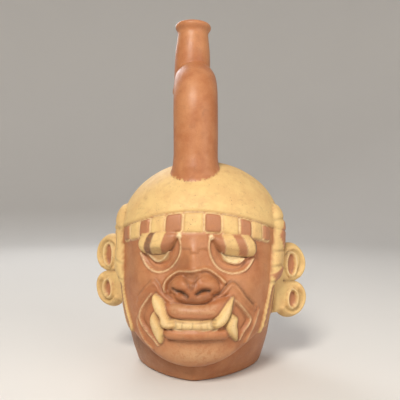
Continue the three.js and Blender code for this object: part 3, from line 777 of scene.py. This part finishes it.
def model_straps(side):
    """The straps that hang from the band in front of the ears, on the pattern that runs round the head."""
    turn, up = side.across, side.up
    for hand, end in ((-1, (46, 32)), (1, (50, 30))):
        path = [(70, 98), (69, 84), (66, 69), (60, 58), (54, 45), end]
        line = [(hand * math.radians(angle) * GIRTH, z) for angle, z in path]
        chosen, away, along = side.fold(line, STRAP_WIDTH, STRAP_HEIGHT, taper=strap_taper, sharp=0.42)
        width = STRAP_WIDTH / 2 * strap_taper(along)
        within = ease(0.3, -0.3, away - width)
        z = up[chosen]
        side.paint(chosen, "cream", within)
        heights, reaches = [z for _, z in path[::-1]], [abs(x) for x, _ in line[::-1]]
        offset = turn[chosen] * hand - np.interp(up[chosen], heights, reaches)
        if hand > 0:
            diamond = np.abs(offset) / 6.2 + np.abs(z - 87) / 9.5
            side.paint(chosen, "red", within * ease(1.06, 0.94, diamond))
            side.laid[chosen] += 0.7 * ease(1.1, 0.8, diamond) * within
            lozenge = np.abs(offset) / 6.6 + np.abs(z - 63) / 5.2
            side.paint(chosen, "red", within * ease(1.1, 0.9, lozenge))
            side.laid[chosen] += 0.5 * ease(1.15, 0.85, lozenge) * within
            for level in (96.5, 77.4, 68.2, 58.5):
                seam = np.exp(-(((z - level) / 0.8) ** 2)) * within
                side.cut[chosen] += 0.7 * seam
                # Painted shade in the seam, with some dirt.
                side.paint(chosen, "smoke_and_shade", 0.3 * seam)
        else:
            for level in (93, 72, 60):
                seam = np.exp(-(((z - level - offset * 0.35) / 0.9) ** 2)) * within
                side.cut[chosen] += 0.7 * seam
                # Painted shade in the seam, with some dirt.
                side.paint(chosen, "smoke_and_shade", 0.25 * seam)
            oval = (offset / 4.2) ** 2 + ((z - 82.5) / 7.4) ** 2
            side.paint(chosen, "brown", 0.4 * within * ease(1.1, 0.9, oval))
            side.cut[chosen] += 0.8 * ease(1.1, 0.7, oval)
        lobe = ease(58, 55, z) * within
        core = ease(0.62, 0.5, away / width)
        side.paint(chosen, "red", lobe * core)
        side.cut[chosen] += 0.9 * lobe * core


# ------------------------------------------------------------------ parts of the vessel, as closed skins

def rows_up_the_head():
    """Levels of the rows, close together where the face is and wider apart below and above it."""
    count = 1500
    level = np.linspace(0, CROWN_RING, count)
    front, side = skin(np.zeros(count), level), skin(np.full(count, math.pi / 2), level)
    step = sum(
        share * np.linalg.norm(np.diff(line, axis=0), axis=1) for line, share in ((front, 0.6), (side, 0.4))
    )
    middle = (level[1:] + level[:-1]) / 2
    closeness = np.where(middle < 4.6, 0.55, np.where(middle < 11.5, 1.0, 0.5))
    return level, np.concatenate([[0], np.cumsum(step * closeness)])


FACE_EDGE = math.radians(66)  # nothing of the face lies further round the head than this
FACE_FOOT = 4.6  # level of the ring under the jaw


def head_place(sizes):
    """The head with all its relief; the pattern runs round it from the back."""
    level_of, reach = rows_up_the_head()

    def place(around, along):
        turn = (around - 0.5) * 2 * math.pi
        azimuth = turn - 0.45 * np.sin(turn)
        level = np.interp(along * reach[-1], reach, level_of)
        base = skin(azimuth, level)
        sideways, upwards, out = directions(azimuth, level)
        above_jaw = ease(4.7, 5.3, level)

        whole = Sketch(azimuth * GIRTH, base[:, 2])
        lay_cap_and_band(whole, azimuth)
        model_straps(whole)

        front = np.flatnonzero((np.abs(azimuth) < FACE_EDGE) & (level > FACE_FOOT))
        face = Sketch(base[front, 0], base[front, 2])
        face.laid, face.cut = whole.laid[front], whole.cut[front]
        face.coats = {coat: whole.coats[coat][front] for coat in COATS}
        model_face(face, ease(FACE_EDGE, math.radians(50), np.abs(azimuth[front])))
        ground = np.zeros(len(base))
        push = np.zeros((len(base), 2))
        ground[front], push[front] = face.ground, face.push
        whole.laid[front], whole.cut[front] = face.laid, face.cut
        for coat in COATS:
            whole.coats[coat][front] = face.coats[coat]

        lift = (ground + whole.laid - whole.cut) * above_jaw
        strays = uneven(base, 19, 1) + 0.45 * uneven(base, 6.5, 2) + 0.2 * uneven(base, 2.6, 3)
        lift += sizes.unevenness / MM * strays * ease(0, 3, base[:, 2])
        points = base + out * lift[:, None]
        points += sideways * push[:, :1] * above_jaw[:, None] + upwards * push[:, 1:] * above_jaw[:, None]
        for coat in COATS:
            whole.coats[coat] *= above_jaw
        # Painted shade: the neck under the jaw is darkened all round; a smoky stain on its left side
        # darkens it further.
        neck = (1 - above_jaw) * ease(0, 1.5, base[:, 2])
        stain_and_shade = np.exp(-(((np.degrees(azimuth) + 62) / 20) ** 2) - ((base[:, 2] - 17) / 10) ** 2)
        whole.coats["smoke_and_shade"] = np.maximum(whole.coats["smoke_and_shade"], neck * (0.12 + 0.4 * stain_and_shade))
        return points, whole.coats

    return place


def stirrup_place(radius, flare, strays):
    """The tube of the stirrup: up the front leg, over the arch and down the back leg."""
    leg = ARCH_CENTRE[2] - LEG_FOOT
    bend = math.pi * ARCH_RADIUS
    crown = RINGS[TOP_RING][1] + CROWN_RISE

    def place(around, along):
        run = along * (2 * leg + bend)
        turn = np.clip(run - leg, 0, bend) / ARCH_RADIUS
        drop = np.maximum(np.maximum(leg - run, run - leg - bend), 0)
        forward = -ARCH_RADIUS * np.cos(turn)
        height = ARCH_RADIUS * np.sin(turn) - drop
        centre = ARCH_CENTRE + np.stack(
            [-math.sin(ARCH_TURN) * forward, math.cos(ARCH_TURN) * forward, height], axis=1
        )
        flat = np.array([math.cos(ARCH_TURN), math.sin(ARCH_TURN), 0])
        ahead = np.array([-math.sin(ARCH_TURN), math.cos(ARCH_TURN), 0])
        outward = -np.cos(turn)[:, None] * ahead + np.sin(turn)[:, None] * np.array([0, 0, 1.0])
        size = radius + flare * ease(crown + 4, crown - 12, centre[:, 2])
        angle = around * 2 * math.pi
        points = centre + (np.cos(angle) * size)[:, None] * flat + (np.sin(angle) * size)[:, None] * outward
        if strays:
            way = points - centre
            way /= np.linalg.norm(way, axis=1, keepdims=True)
            points += way * (strays * (uneven(points, 24, 5) + 0.3 * uneven(points, 7, 6)))[:, None]
        foot = np.exp(-(((centre[:, 2] - crown + 4) / 5) ** 2))
        return points, {"red": 0.12 * foot}

    return place


def turned_place(profile, strays=0.0):
    """A form turned about the spout's own axis from (radius, height above its foot) pairs."""
    line = trail(profile, steps=6)
    reach = np.concatenate([[0], np.cumsum(np.linalg.norm(np.diff(line, axis=0), axis=1))])

    def place(around, along):
        radius = np.interp(along * reach[-1], reach, line[:, 0])
        height = np.interp(along * reach[-1], reach, line[:, 1])
        angle = around * 2 * math.pi
        x, y = radius * np.cos(angle), radius * np.sin(angle)
        cosine, sine = math.cos(SPOUT_TILT), math.sin(SPOUT_TILT)
        points = SPOUT_FOOT + np.stack([x * cosine + height * sine, y, height * cosine - x * sine], axis=1)
        if strays:
            sway = strays * (uneven(points, 20, 8) + 0.3 * uneven(points, 6, 9))
            points[:, 0] += sway * np.cos(angle)
            points[:, 1] += sway * np.sin(angle)
        return points, {}

    return place


def spout_outside(top):
    """Outline of the spout: a long neck that narrows, and a rolled rim."""
    return [
        (0, 0), (12.2, 0), (12.2, 9), (12.2, 18), (11.9, 28), (10.9, 37), (10.4, top - 6.5),
        (11.4, top - 4.2), (12.1, top - 2.8), (12, top - 1.2), (11, top - 0.2), (9.7, top), (0, top),
    ]


def spout_inside(top):
    """Outline of the spout's bore, which widens at the rim."""
    return [(0, 4), (7.2, 4), (7.2, 12), (7.2, top - 5), (8, top - 1.4), (9, top + 1), (0, top + 1)]


UPPER_LOBE, LOWER_LOBE = (11.5, 13.5, 13), (12.5, -11, 12.5)  # across, up and radius, from the ear's root
EAR_MIDDLE = (10, 1.1)
EAR_BACK, EAR_TOP, EAR_FOOT = -4, 22, -19  # sides of the straight root, inside the head


def ear_reach(angle):
    """Distance from the middle of an ear to its edge: two round lobes and a straight root."""
    across, up = np.cos(angle), np.sin(angle)
    reach = np.zeros(len(angle))
    for x, y, radius in (UPPER_LOBE, LOWER_LOBE):
        dx, dy = x - EAR_MIDDLE[0], y - EAR_MIDDLE[1]
        along = dx * across + dy * up
        reach = np.maximum(reach, along + np.sqrt(np.maximum(radius**2 - dx**2 - dy**2 + along**2, 0)))
    root_side = (EAR_MIDDLE[0] - EAR_BACK) / np.maximum(-across, 1e-6)
    root_end = np.where(up > 0, EAR_TOP - EAR_MIDDLE[1], EAR_MIDDLE[1] - EAR_FOOT)
    root_high = root_end / np.maximum(np.abs(up), 1e-6)
    root = np.where(across < 0, np.minimum(root_side, root_high), 0)
    return np.maximum(reach, root)


def arc(x, y, radius, start, stop):
    """Points along part of a circle, between two angles in degrees."""
    turns = [math.radians(angle) for angle in np.linspace(start, stop, 12)]
    return [(x + radius * math.cos(turn), y + radius * math.sin(turn)) for turn in turns]


def decorate_ear(front):
    """Rolled rim, two looped ornaments and the scrolls between them."""
    front.cover("cream", np.ones(len(front.up)))
    for (x, y, radius), start, stop in ((UPPER_LOBE, 150, -55), (LOWER_LOBE, 55, -150)):
        front.fold(arc(x, y, radius - 2.6, start, stop), 4.2, 1.6, sharp=0.7)
        front.groove(arc(x, y, radius - 5.3, start, stop), 1.6, 0.9, 0.35)
    for x, y, wide, tall in ((10.5, 12.6, 3.4, 7.2), (11.5, -10.4, 3.4, 5.6)):
        loop = [
            (x + 1.25 * wide * math.cos(t), y + 1.1 * tall * math.sin(t))
            for t in np.radians(np.linspace(-60, 275, 14))
        ]
        oval = ((front.across - x) / wide) ** 2 + ((front.up - y) / tall) ** 2
        front.cover("red", ease(1.15, 0.85, oval))
        front.cut += 0.9 * ease(1.2, 0.6, oval)
        front.fold(loop, 2.2, 2.0, sharp=0.6, coat="cream")
        front.line(loop, 0.9, "pale", 0.6)
    front.groove([(20, 1.2), (15, 1), (10, 1.4), (4, 2)], 2.0, 1.2, 0.4)


def ear_place(hand, waist):
    """An ear: a flat lobed form that is set on the side of the head and swept back."""
    cosine, sine = math.cos(EAR_SWEEP), math.sin(EAR_SWEEP)
    front_share, face_z, rim_z, back_z, bevel = 0.72, 3.4, -1.2, -5.6, 0.24

    def place(around, along):
        angle = around * 2 * math.pi
        ahead = along < front_share
        share = np.where(ahead, along / front_share, (1 - along) / (1 - front_share))
        out = np.sin(share * math.pi / 2)
        edge = np.clip((out - 1 + bevel) / bevel, 0, 1)
        level = np.where(ahead, face_z, back_z)
        z = rim_z + (level - rim_z) * np.sqrt(np.clip(1 - edge**2, 0, 1))
        reach = ear_reach(angle) * out
        across, up = EAR_MIDDLE[0] + reach * np.cos(angle), EAR_MIDDLE[1] + reach * np.sin(angle)
        front = Sketch(across, up)
        decorate_ear(front)
        z += np.where(ahead, (front.laid - front.cut) * (1 - edge**3), 0)
        x = across * cosine + z * sine + EAR_ROOT[0]
        points = np.stack([hand * x, across * sine - z * cosine + EAR_ROOT[1], up + waist], axis=1)
        points += 0.25 * np.stack([uneven(points, 9, 12 + k) for k in range(3)], axis=1)
        behind = ~ahead
        for coat in ("red", "pale", "smoke_and_shade"):
            front.coats[coat][behind] = 0
        return points, front.coats

    return place


CHAMBER_LEVELS = (7.2, 7.8, 8.4, 9, 9.6, 10.3, 11, 11.15, 11.3, 11.45, 11.6, 11.7, 11.8, 11.9)


def chamber_place(around, along):
    """The hollow inside the head: it follows the outside at the wall's thickness."""
    azimuth = (around - 0.5) * 2 * math.pi
    behind_face = 3.4 * ease(1.3, 0.7, np.abs(azimuth))
    count = len(azimuth)
    ones = np.ones(count)
    rows = [np.tile([0, 0, WALL], (count, 1))]
    for share in (0, 0.6):
        wall = skin(azimuth, ones * (2 + share * 2))
        flat = np.hypot(wall[:, 0], wall[:, 1])
        wall[:, :2] *= (1 - (WALL + 3 * (1 - share)) / flat)[:, None]
        wall[:, 2] = WALL + share * 14
        rows.append(wall)
    for level in CHAMBER_LEVELS:
        out = directions(azimuth, ones * level)[2]
        rows.append(skin(azimuth, ones * level) - out * (WALL + behind_face)[:, None])
    rows.append(skin(0 * azimuth, ones * CROWN_RING) - np.array([0, 0, WALL]))
    rows = np.array(rows)
    place = along * (len(rows) - 1)
    i = np.minimum(place.astype(int), len(rows) - 2)
    share = (place - i)[:, None]
    each = np.arange(count)
    return rows[i, each] * (1 - share) + rows[i + 1, each] * share, {}


# ------------------------------------------------------------------ material

class Shading:
    """Shorthand for wiring a material's nodes."""

    def __init__(self, name):
        self.material = bpy.data.materials.new(name)
        self.material.use_nodes = True
        self.tree = self.material.node_tree
        self.shader = self.tree.nodes["Principled BSDF"]
        self.place = self.tree.nodes.new("ShaderNodeTexCoord").outputs["Object"]

    def link(self, source, target):
        self.tree.links.new(source, target)

    def noise(self, scale, detail=4.0, roughness=0.55, distortion=0.0, stretch=(1, 1, 1), shift=0.0):
        mapping = self.tree.nodes.new("ShaderNodeMapping")
        mapping.inputs["Scale"].default_value = stretch
        mapping.inputs["Location"].default_value = (shift, shift * 0.7, -shift)
        self.link(self.place, mapping.inputs["Vector"])
        made = self.tree.nodes.new("ShaderNodeTexNoise")
        made.inputs["Scale"].default_value = scale
        made.inputs["Detail"].default_value = detail
        made.inputs["Roughness"].default_value = roughness
        made.inputs["Distortion"].default_value = distortion
        self.link(mapping.outputs[0], made.inputs["Vector"])
        return made.outputs["Fac"]

    def span(self, source, low, high, to_low=0.0, to_high=1.0):
        made = self.tree.nodes.new("ShaderNodeMapRange")
        made.interpolation_type = "SMOOTHSTEP"
        for name, value in (("From Min", low), ("From Max", high), ("To Min", to_low), ("To Max", to_high)):
            made.inputs[name].default_value = value
        self.link(source, made.inputs["Value"])
        return made.outputs["Result"]

    def sums(self, operation, first, second):
        made = self.tree.nodes.new("ShaderNodeMath")
        made.operation = operation
        for socket, value in zip(made.inputs, (first, second)):
            if isinstance(value, (int, float)):
                socket.default_value = value
            else:
                self.link(value, socket)
        return made.outputs[0]

    def times(self, first, second):
        return self.sums("MULTIPLY", first, second)

    def plus(self, first, second):
        return self.sums("ADD", first, second)

    def larger(self, first, second):
        return self.sums("MAXIMUM", first, second)

    def coat(self, name):
        made = self.tree.nodes.new("ShaderNodeAttribute")
        made.attribute_name = name
        return made.outputs["Fac"]

    def mix(self, share, first, second, blend="MIX"):
        made = self.tree.nodes.new("ShaderNodeMix")
        made.data_type = "RGBA"
        made.blend_type = blend
        for socket, value in ((made.inputs[0], share), (made.inputs[6], first), (made.inputs[7], second)):
            if isinstance(value, bpy.types.NodeSocket):
                self.link(value, socket)
            elif isinstance(value, (int, float)):
                socket.default_value = value
            else:
                socket.default_value = tuple(value)
        return made.outputs[2]


def fired_clay(finish):
    """Burnished orange clay with painted slips, smoky stains, painted shade in its hollows and creases,
    dark specks and fine pits.
    """
    sheet = Shading("fired clay")
    scale = 1 / MM
    broad = sheet.noise(0.03 * scale, 3)
    cloudy = sheet.noise(0.11 * scale, 5, 0.6, 0.4, shift=1.3)
    mottle = sheet.noise(0.45 * scale, 5, 0.65, shift=2.1)
    grain = sheet.noise(2.4 * scale, 3, 0.6, shift=3.7)
    strokes = sheet.noise(0.5 * scale, 3, 0.5, stretch=(1, 1, 0.14), shift=0.6)

    warmth = sheet.plus(sheet.times(broad, 0.55), sheet.times(cloudy, 0.45))
    clay = sheet.mix(sheet.span(warmth, 0.36, 0.62), finish.clay, finish.deep_clay)
    clay = sheet.mix(sheet.span(mottle, 0.45, 0.75, 0, 0.3), clay, finish.clay)
    cream = sheet.mix(sheet.span(cloudy, 0.35, 0.7, 0, 0.3), finish.cream, finish.clay)
    worn = sheet.span(mottle, 0.34, 0.52, 0.55, 1)
    surface = sheet.mix(sheet.times(sheet.coat("red"), worn), clay, finish.red)
    surface = sheet.mix(sheet.times(sheet.coat("brown"), worn), surface, finish.brown)
    rubbed = sheet.span(mottle, 0.28, 0.4, 0.8, 1)
    surface = sheet.mix(sheet.times(sheet.coat("cream"), rubbed), surface, cream)
    crest = sheet.span(sheet.coat("crest"), 0.15, 0.9, 0, 0.35)
    broken = sheet.span(mottle, 0.35, 0.55, 0.35, 1)
    pale = sheet.larger(sheet.times(sheet.coat("pale"), broken), crest)
    surface = sheet.mix(pale, surface, finish.pale)

    cells = sheet.tree.nodes.new("ShaderNodeTexVoronoi")
    cells.inputs["Scale"].default_value = 0.62 * scale
    cells.inputs["Randomness"].default_value = 1
    sheet.link(sheet.place, cells.inputs["Vector"])
    few = sheet.span(sheet.noise(0.6 * scale, 2, shift=5.2), 0.52, 0.6)
    specks = sheet.times(sheet.span(cells.outputs["Distance"], 0.2, 0.1), few)
    on_cream = sheet.span(sheet.coat("cream"), 0, 1, 0.25, 0.62)
    surface = sheet.mix(sheet.times(specks, on_cream), surface, finish.soot_and_shade)
    grime = sheet.span(sheet.noise(0.2 * scale, 6, 0.7, 0.8, shift=7.7), 0.5, 0.74, 0, 0.32)
    grime = sheet.times(grime, sheet.span(grain, 0.35, 0.6, 0.5, 1))
    surface = sheet.mix(grime, surface, finish.brown)
    # Painted shade: hollows and creases are darkened towards the soot colour where shade falls, together
    # with the coat of smoky stains and painted shade.
    hollow = sheet.span(sheet.coat("hollow"), 0.1, 1, 0, 0.62)
    smoke_and_shade = sheet.times(sheet.coat("smoke_and_shade"), sheet.span(mottle, 0.2, 0.6, 0.6, 1))
    surface = sheet.mix(sheet.larger(smoke_and_shade, hollow), surface, finish.soot_and_shade)
    grains = sheet.mix(sheet.span(grain, 0.3, 0.7), (0.42, 0.42, 0.42, 1), (0.58, 0.58, 0.58, 1))
    surface = sheet.mix(0.5, surface, grains, "SOFT_LIGHT")
    sheet.link(surface, sheet.shader.inputs["Base Color"])

    matt = sheet.larger(sheet.coat("cream"), sheet.coat("smoke_and_shade"))
    rough = sheet.span(matt, 0, 1, finish.gloss, finish.gloss + 0.16)
    rough = sheet.plus(rough, sheet.span(mottle, 0.3, 0.7, -0.05, 0.08))
    sheet.link(rough, sheet.shader.inputs["Roughness"])
    sheet.shader.inputs["Specular IOR Level"].default_value = 0.42

    pits = sheet.span(sheet.noise(1.5 * scale, 2, 0.5, shift=9.1), 0.32, 0.4)
    height = sheet.plus(sheet.times(mottle, 0.35), sheet.times(grain, 0.25))
    height = sheet.plus(height, sheet.times(pits, 0.3))
    height = sheet.plus(height, sheet.times(strokes, 0.25))
    height = sheet.sums("SUBTRACT", height, sheet.times(specks, 0.3))
    bump = sheet.tree.nodes.new("ShaderNodeBump")
    bump.inputs["Strength"].default_value = 0.5
    bump.inputs["Distance"].default_value = 0.35 * MM
    sheet.link(height, bump.inputs["Height"])
    sheet.link(bump.outputs[0], sheet.shader.inputs["Normal"])
    return sheet.material


def note_curvature(mesh):
    """Stores how hollow or how crested the clay is at each point, from 0 to 1."""
    points, edges = points_of(mesh), edges_of(mesh)
    normals = np.empty(len(mesh.vertices) * 3)
    mesh.vertices.foreach_get("normal", normals)
    normals = normals.reshape(-1, 3)
    step = points[edges[:, 1]] - points[edges[:, 0]]
    size = np.maximum((step**2).sum(1), (0.2 * MM) ** 2)
    bend_a = (step * normals[edges[:, 0]]).sum(1) / size
    bend_b = (-step * normals[edges[:, 1]]).sum(1) / size
    total, count = np.zeros(len(points)), np.zeros(len(points))
    for side, bend in ((0, bend_a), (1, bend_b)):
        np.add.at(total, edges[:, side], bend)
        np.add.at(count, edges[:, side], 1)
    bend = total / np.maximum(count, 1) * MM
    for _ in range(2):
        around, count = np.zeros(len(points)), np.zeros(len(points))
        for a, b in ((0, 1), (1, 0)):
            np.add.at(around, edges[:, a], bend[edges[:, b]])
            np.add.at(count, edges[:, a], 1)
        bend = (bend + around / np.maximum(count, 1)) / 2
    # The hollow share is used as painted shade in the material; the crest share pales the edges.
    store(mesh, "hollow", ease(0.03, 0.4, bend))
    store(mesh, "crest", ease(0.06, 0.45, -bend))


# ------------------------------------------------------------------ operators

class VESSEL_OT_body(bpy.types.Operator):
    """Models the head with its relief, joins the ears, stirrup and spout, and hollows the whole"""

    bl_idname = "vessel.body"
    bl_label = "Vessel"

    def execute(self, context):
        sizes, finish = context.scene.vessel_sizes, context.scene.clay_finish
        top = RIM - SPOUT_FOOT[2]
        vessel = closed_skin("fired_vessel", sizes.columns, sizes.rows, head_place(sizes))
        ears = [
            closed_skin("ear", 120, 40, ear_place(hand, waist)) for hand, waist in ((-1, 60), (1, 54.5))
        ]
        tube, flare = sizes.tube_radius / MM, sizes.tube_flare / MM
        stirrup = closed_skin("stirrup", 60, 110, stirrup_place(tube, flare, 0.22))
        spout = closed_skin("spout", 60, 90, turned_place(spout_outside(top), 0.12))
        for tool, rings, rounds in ((stirrup, 5, 12), (spout, 2, 3), (ears[0], 3, 6), (ears[1], 3, 6)):
            combine(vessel, tool, "UNION")
            blend_seams(vessel, rings, rounds)
        bore = tube - WALL + 0.4
        hollows = [
            closed_skin("chamber", 64, 34, chamber_place),
            closed_skin("stirrup_bore", 24, 60, stirrup_place(bore, 0, 0)),
            closed_skin("spout_bore", 40, 40, turned_place(spout_inside(top))),
        ]
        for tool in hollows:
            combine(vessel, tool, "DIFFERENCE")
        blend_seams(vessel, 0, 0)
        mesh = vessel.data
        mesh.shade_smooth()
        note_curvature(mesh)
        mesh.materials.clear()
        mesh.materials.append(fired_clay(finish))
        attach(vessel, "root")
        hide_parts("vessel")
        print("points", len(mesh.vertices), "faces", len(mesh.polygons))
        return {"FINISHED"}


class VESSEL_OT_stage(bpy.types.Operator):
    """Sets a pale floor, soft studio lights and the camera"""

    bl_idname = "vessel.stage"
    bl_label = "Stage"

    def execute(self, context):
        scene, stage = context.scene, context.scene.stage_settings
        self.add_floor(scene, stage)
        self.add_lights(scene)
        camera = bpy.data.objects.new("camera", bpy.data.cameras.new("camera"))
        camera.data.lens = stage.lens
        camera.data.sensor_width = 36
        camera.data.clip_start = 0.01
        aside, ahead = math.sin(stage.turn), math.cos(stage.turn)
        camera.location = (aside * stage.distance, -ahead * stage.distance, stage.height)
        camera.rotation_euler = (math.pi / 2, 0, stage.turn)
        scene.collection.objects.link(camera)
        scene.camera = camera
        return {"FINISHED"}

    @staticmethod
    def add_floor(scene, stage):
        """A wide round floor that turns up softly at its edge."""
        size = CAD_BOX[1].z
        shape = bmesh.new()
        profile = [(0, 0), (4 * size, 0)]
        turns = np.linspace(0.1, math.pi / 2, 14)
        profile += [(size * (4 + 3 * math.sin(t)), size * 3 * (1 - math.cos(t))) for t in turns]
        profile.append((7 * size, 9 * size))
        verts = [shape.verts.new((x, 0, z)) for x, z in profile]
        edges = [shape.edges.new(pair) for pair in zip(verts, verts[1:])]
        bmesh.ops.spin(
            shape, geom=verts + edges, cent=(0, 0, 0), axis=(0, 0, 1),
            angle=2 * math.pi, steps=96, use_merge=True,
        )
        bmesh.ops.remove_doubles(shape, verts=shape.verts, dist=1e-6)
        bmesh.ops.recalc_face_normals(shape, faces=shape.faces)
        bmesh.ops.reverse_faces(shape, faces=shape.faces)
        mesh = bpy.data.meshes.new("floor")
        shape.to_mesh(mesh)
        shape.free()
        mesh.shade_smooth()
        paper = Shading("pale paper")
        paper.link(
            paper.mix(paper.span(paper.noise(3), 0.3, 0.7, 0, 0.06), stage.floor, (0.6, 0.58, 0.55, 1)),
            paper.shader.inputs["Base Color"],
        )
        paper.shader.inputs["Roughness"].default_value = 0.85
        mesh.materials.append(paper.material)
        floor = bpy.data.objects.new("floor", mesh)
        scene.collection.objects.link(floor)

    @staticmethod
    def add_lights(scene):
        target = Vector((0, 0, 0.45 * CAD_BOX[1].z))
        size = CAD_BOX[1].z
        for name, place, wide, power, tint in (
            ("key", (-0.7, -3.4, 3.2), 1.2, 9.5, (1, 0.95, 0.87)),
            ("fill", (2.6, -2.2, 1.4), 2.4, 2.2, (1, 0.97, 0.93)),
            ("rim", (-1.6, 3.0, 3.0), 2.0, 3.0, (0.95, 0.97, 1)),
        ):
            light = bpy.data.objects.new(name, bpy.data.lights.new(name, "AREA"))
            light.data.size = wide * size
            light.data.energy = power
            light.data.color = tint
            light.location = Vector(place) * size
            light.rotation_euler = (target - light.location).to_track_quat("-Z", "Y").to_euler()
            scene.collection.objects.link(light)
        scene.world = scene.world or bpy.data.worlds.new("studio")
        scene.world.use_nodes = True
        background = scene.world.node_tree.nodes["Background"]
        background.inputs["Color"].default_value = (0.95, 0.95, 1, 1)
        background.inputs["Strength"].default_value = 0.35
        scene.view_settings.view_transform = "Standard"


class VESSEL_PT_sidebar(bpy.types.Panel):
    """Lists the vessel's operators and settings"""

    bl_idname = "VESSEL_PT_sidebar"
    bl_label = "Stirrup Spout Vessel"
    bl_space_type = "VIEW_3D"
    bl_region_type = "UI"
    bl_category = "Vessel"

    def draw(self, context):
        for operator in OPERATORS:
            self.layout.operator(operator.bl_idname)
        for group in SETTINGS:
            column = self.layout.column(align=True)
            for name in SETTINGS[group].__annotations__:
                column.prop(getattr(context.scene, group), name)


OPERATORS = (VESSEL_OT_stage, VESSEL_OT_body)
SETTINGS = {"vessel_sizes": VesselSizes, "clay_finish": ClayFinish, "stage_settings": StageSettings}


def register():
    for kind in (*SETTINGS.values(), *OPERATORS, VESSEL_PT_sidebar):
        bpy.utils.register_class(kind)
    for name, kind in SETTINGS.items():
        setattr(bpy.types.Scene, name, bpy.props.PointerProperty(type=kind))


def unregister():
    for name in SETTINGS:
        delattr(bpy.types.Scene, name)
    for kind in reversed((*SETTINGS.values(), *OPERATORS, VESSEL_PT_sidebar)):
        bpy.utils.unregister_class(kind)


def main():
    register()
    bpy.ops.vessel.stage()
    bpy.ops.vessel.body()


if __name__ == "__main__":
    main()
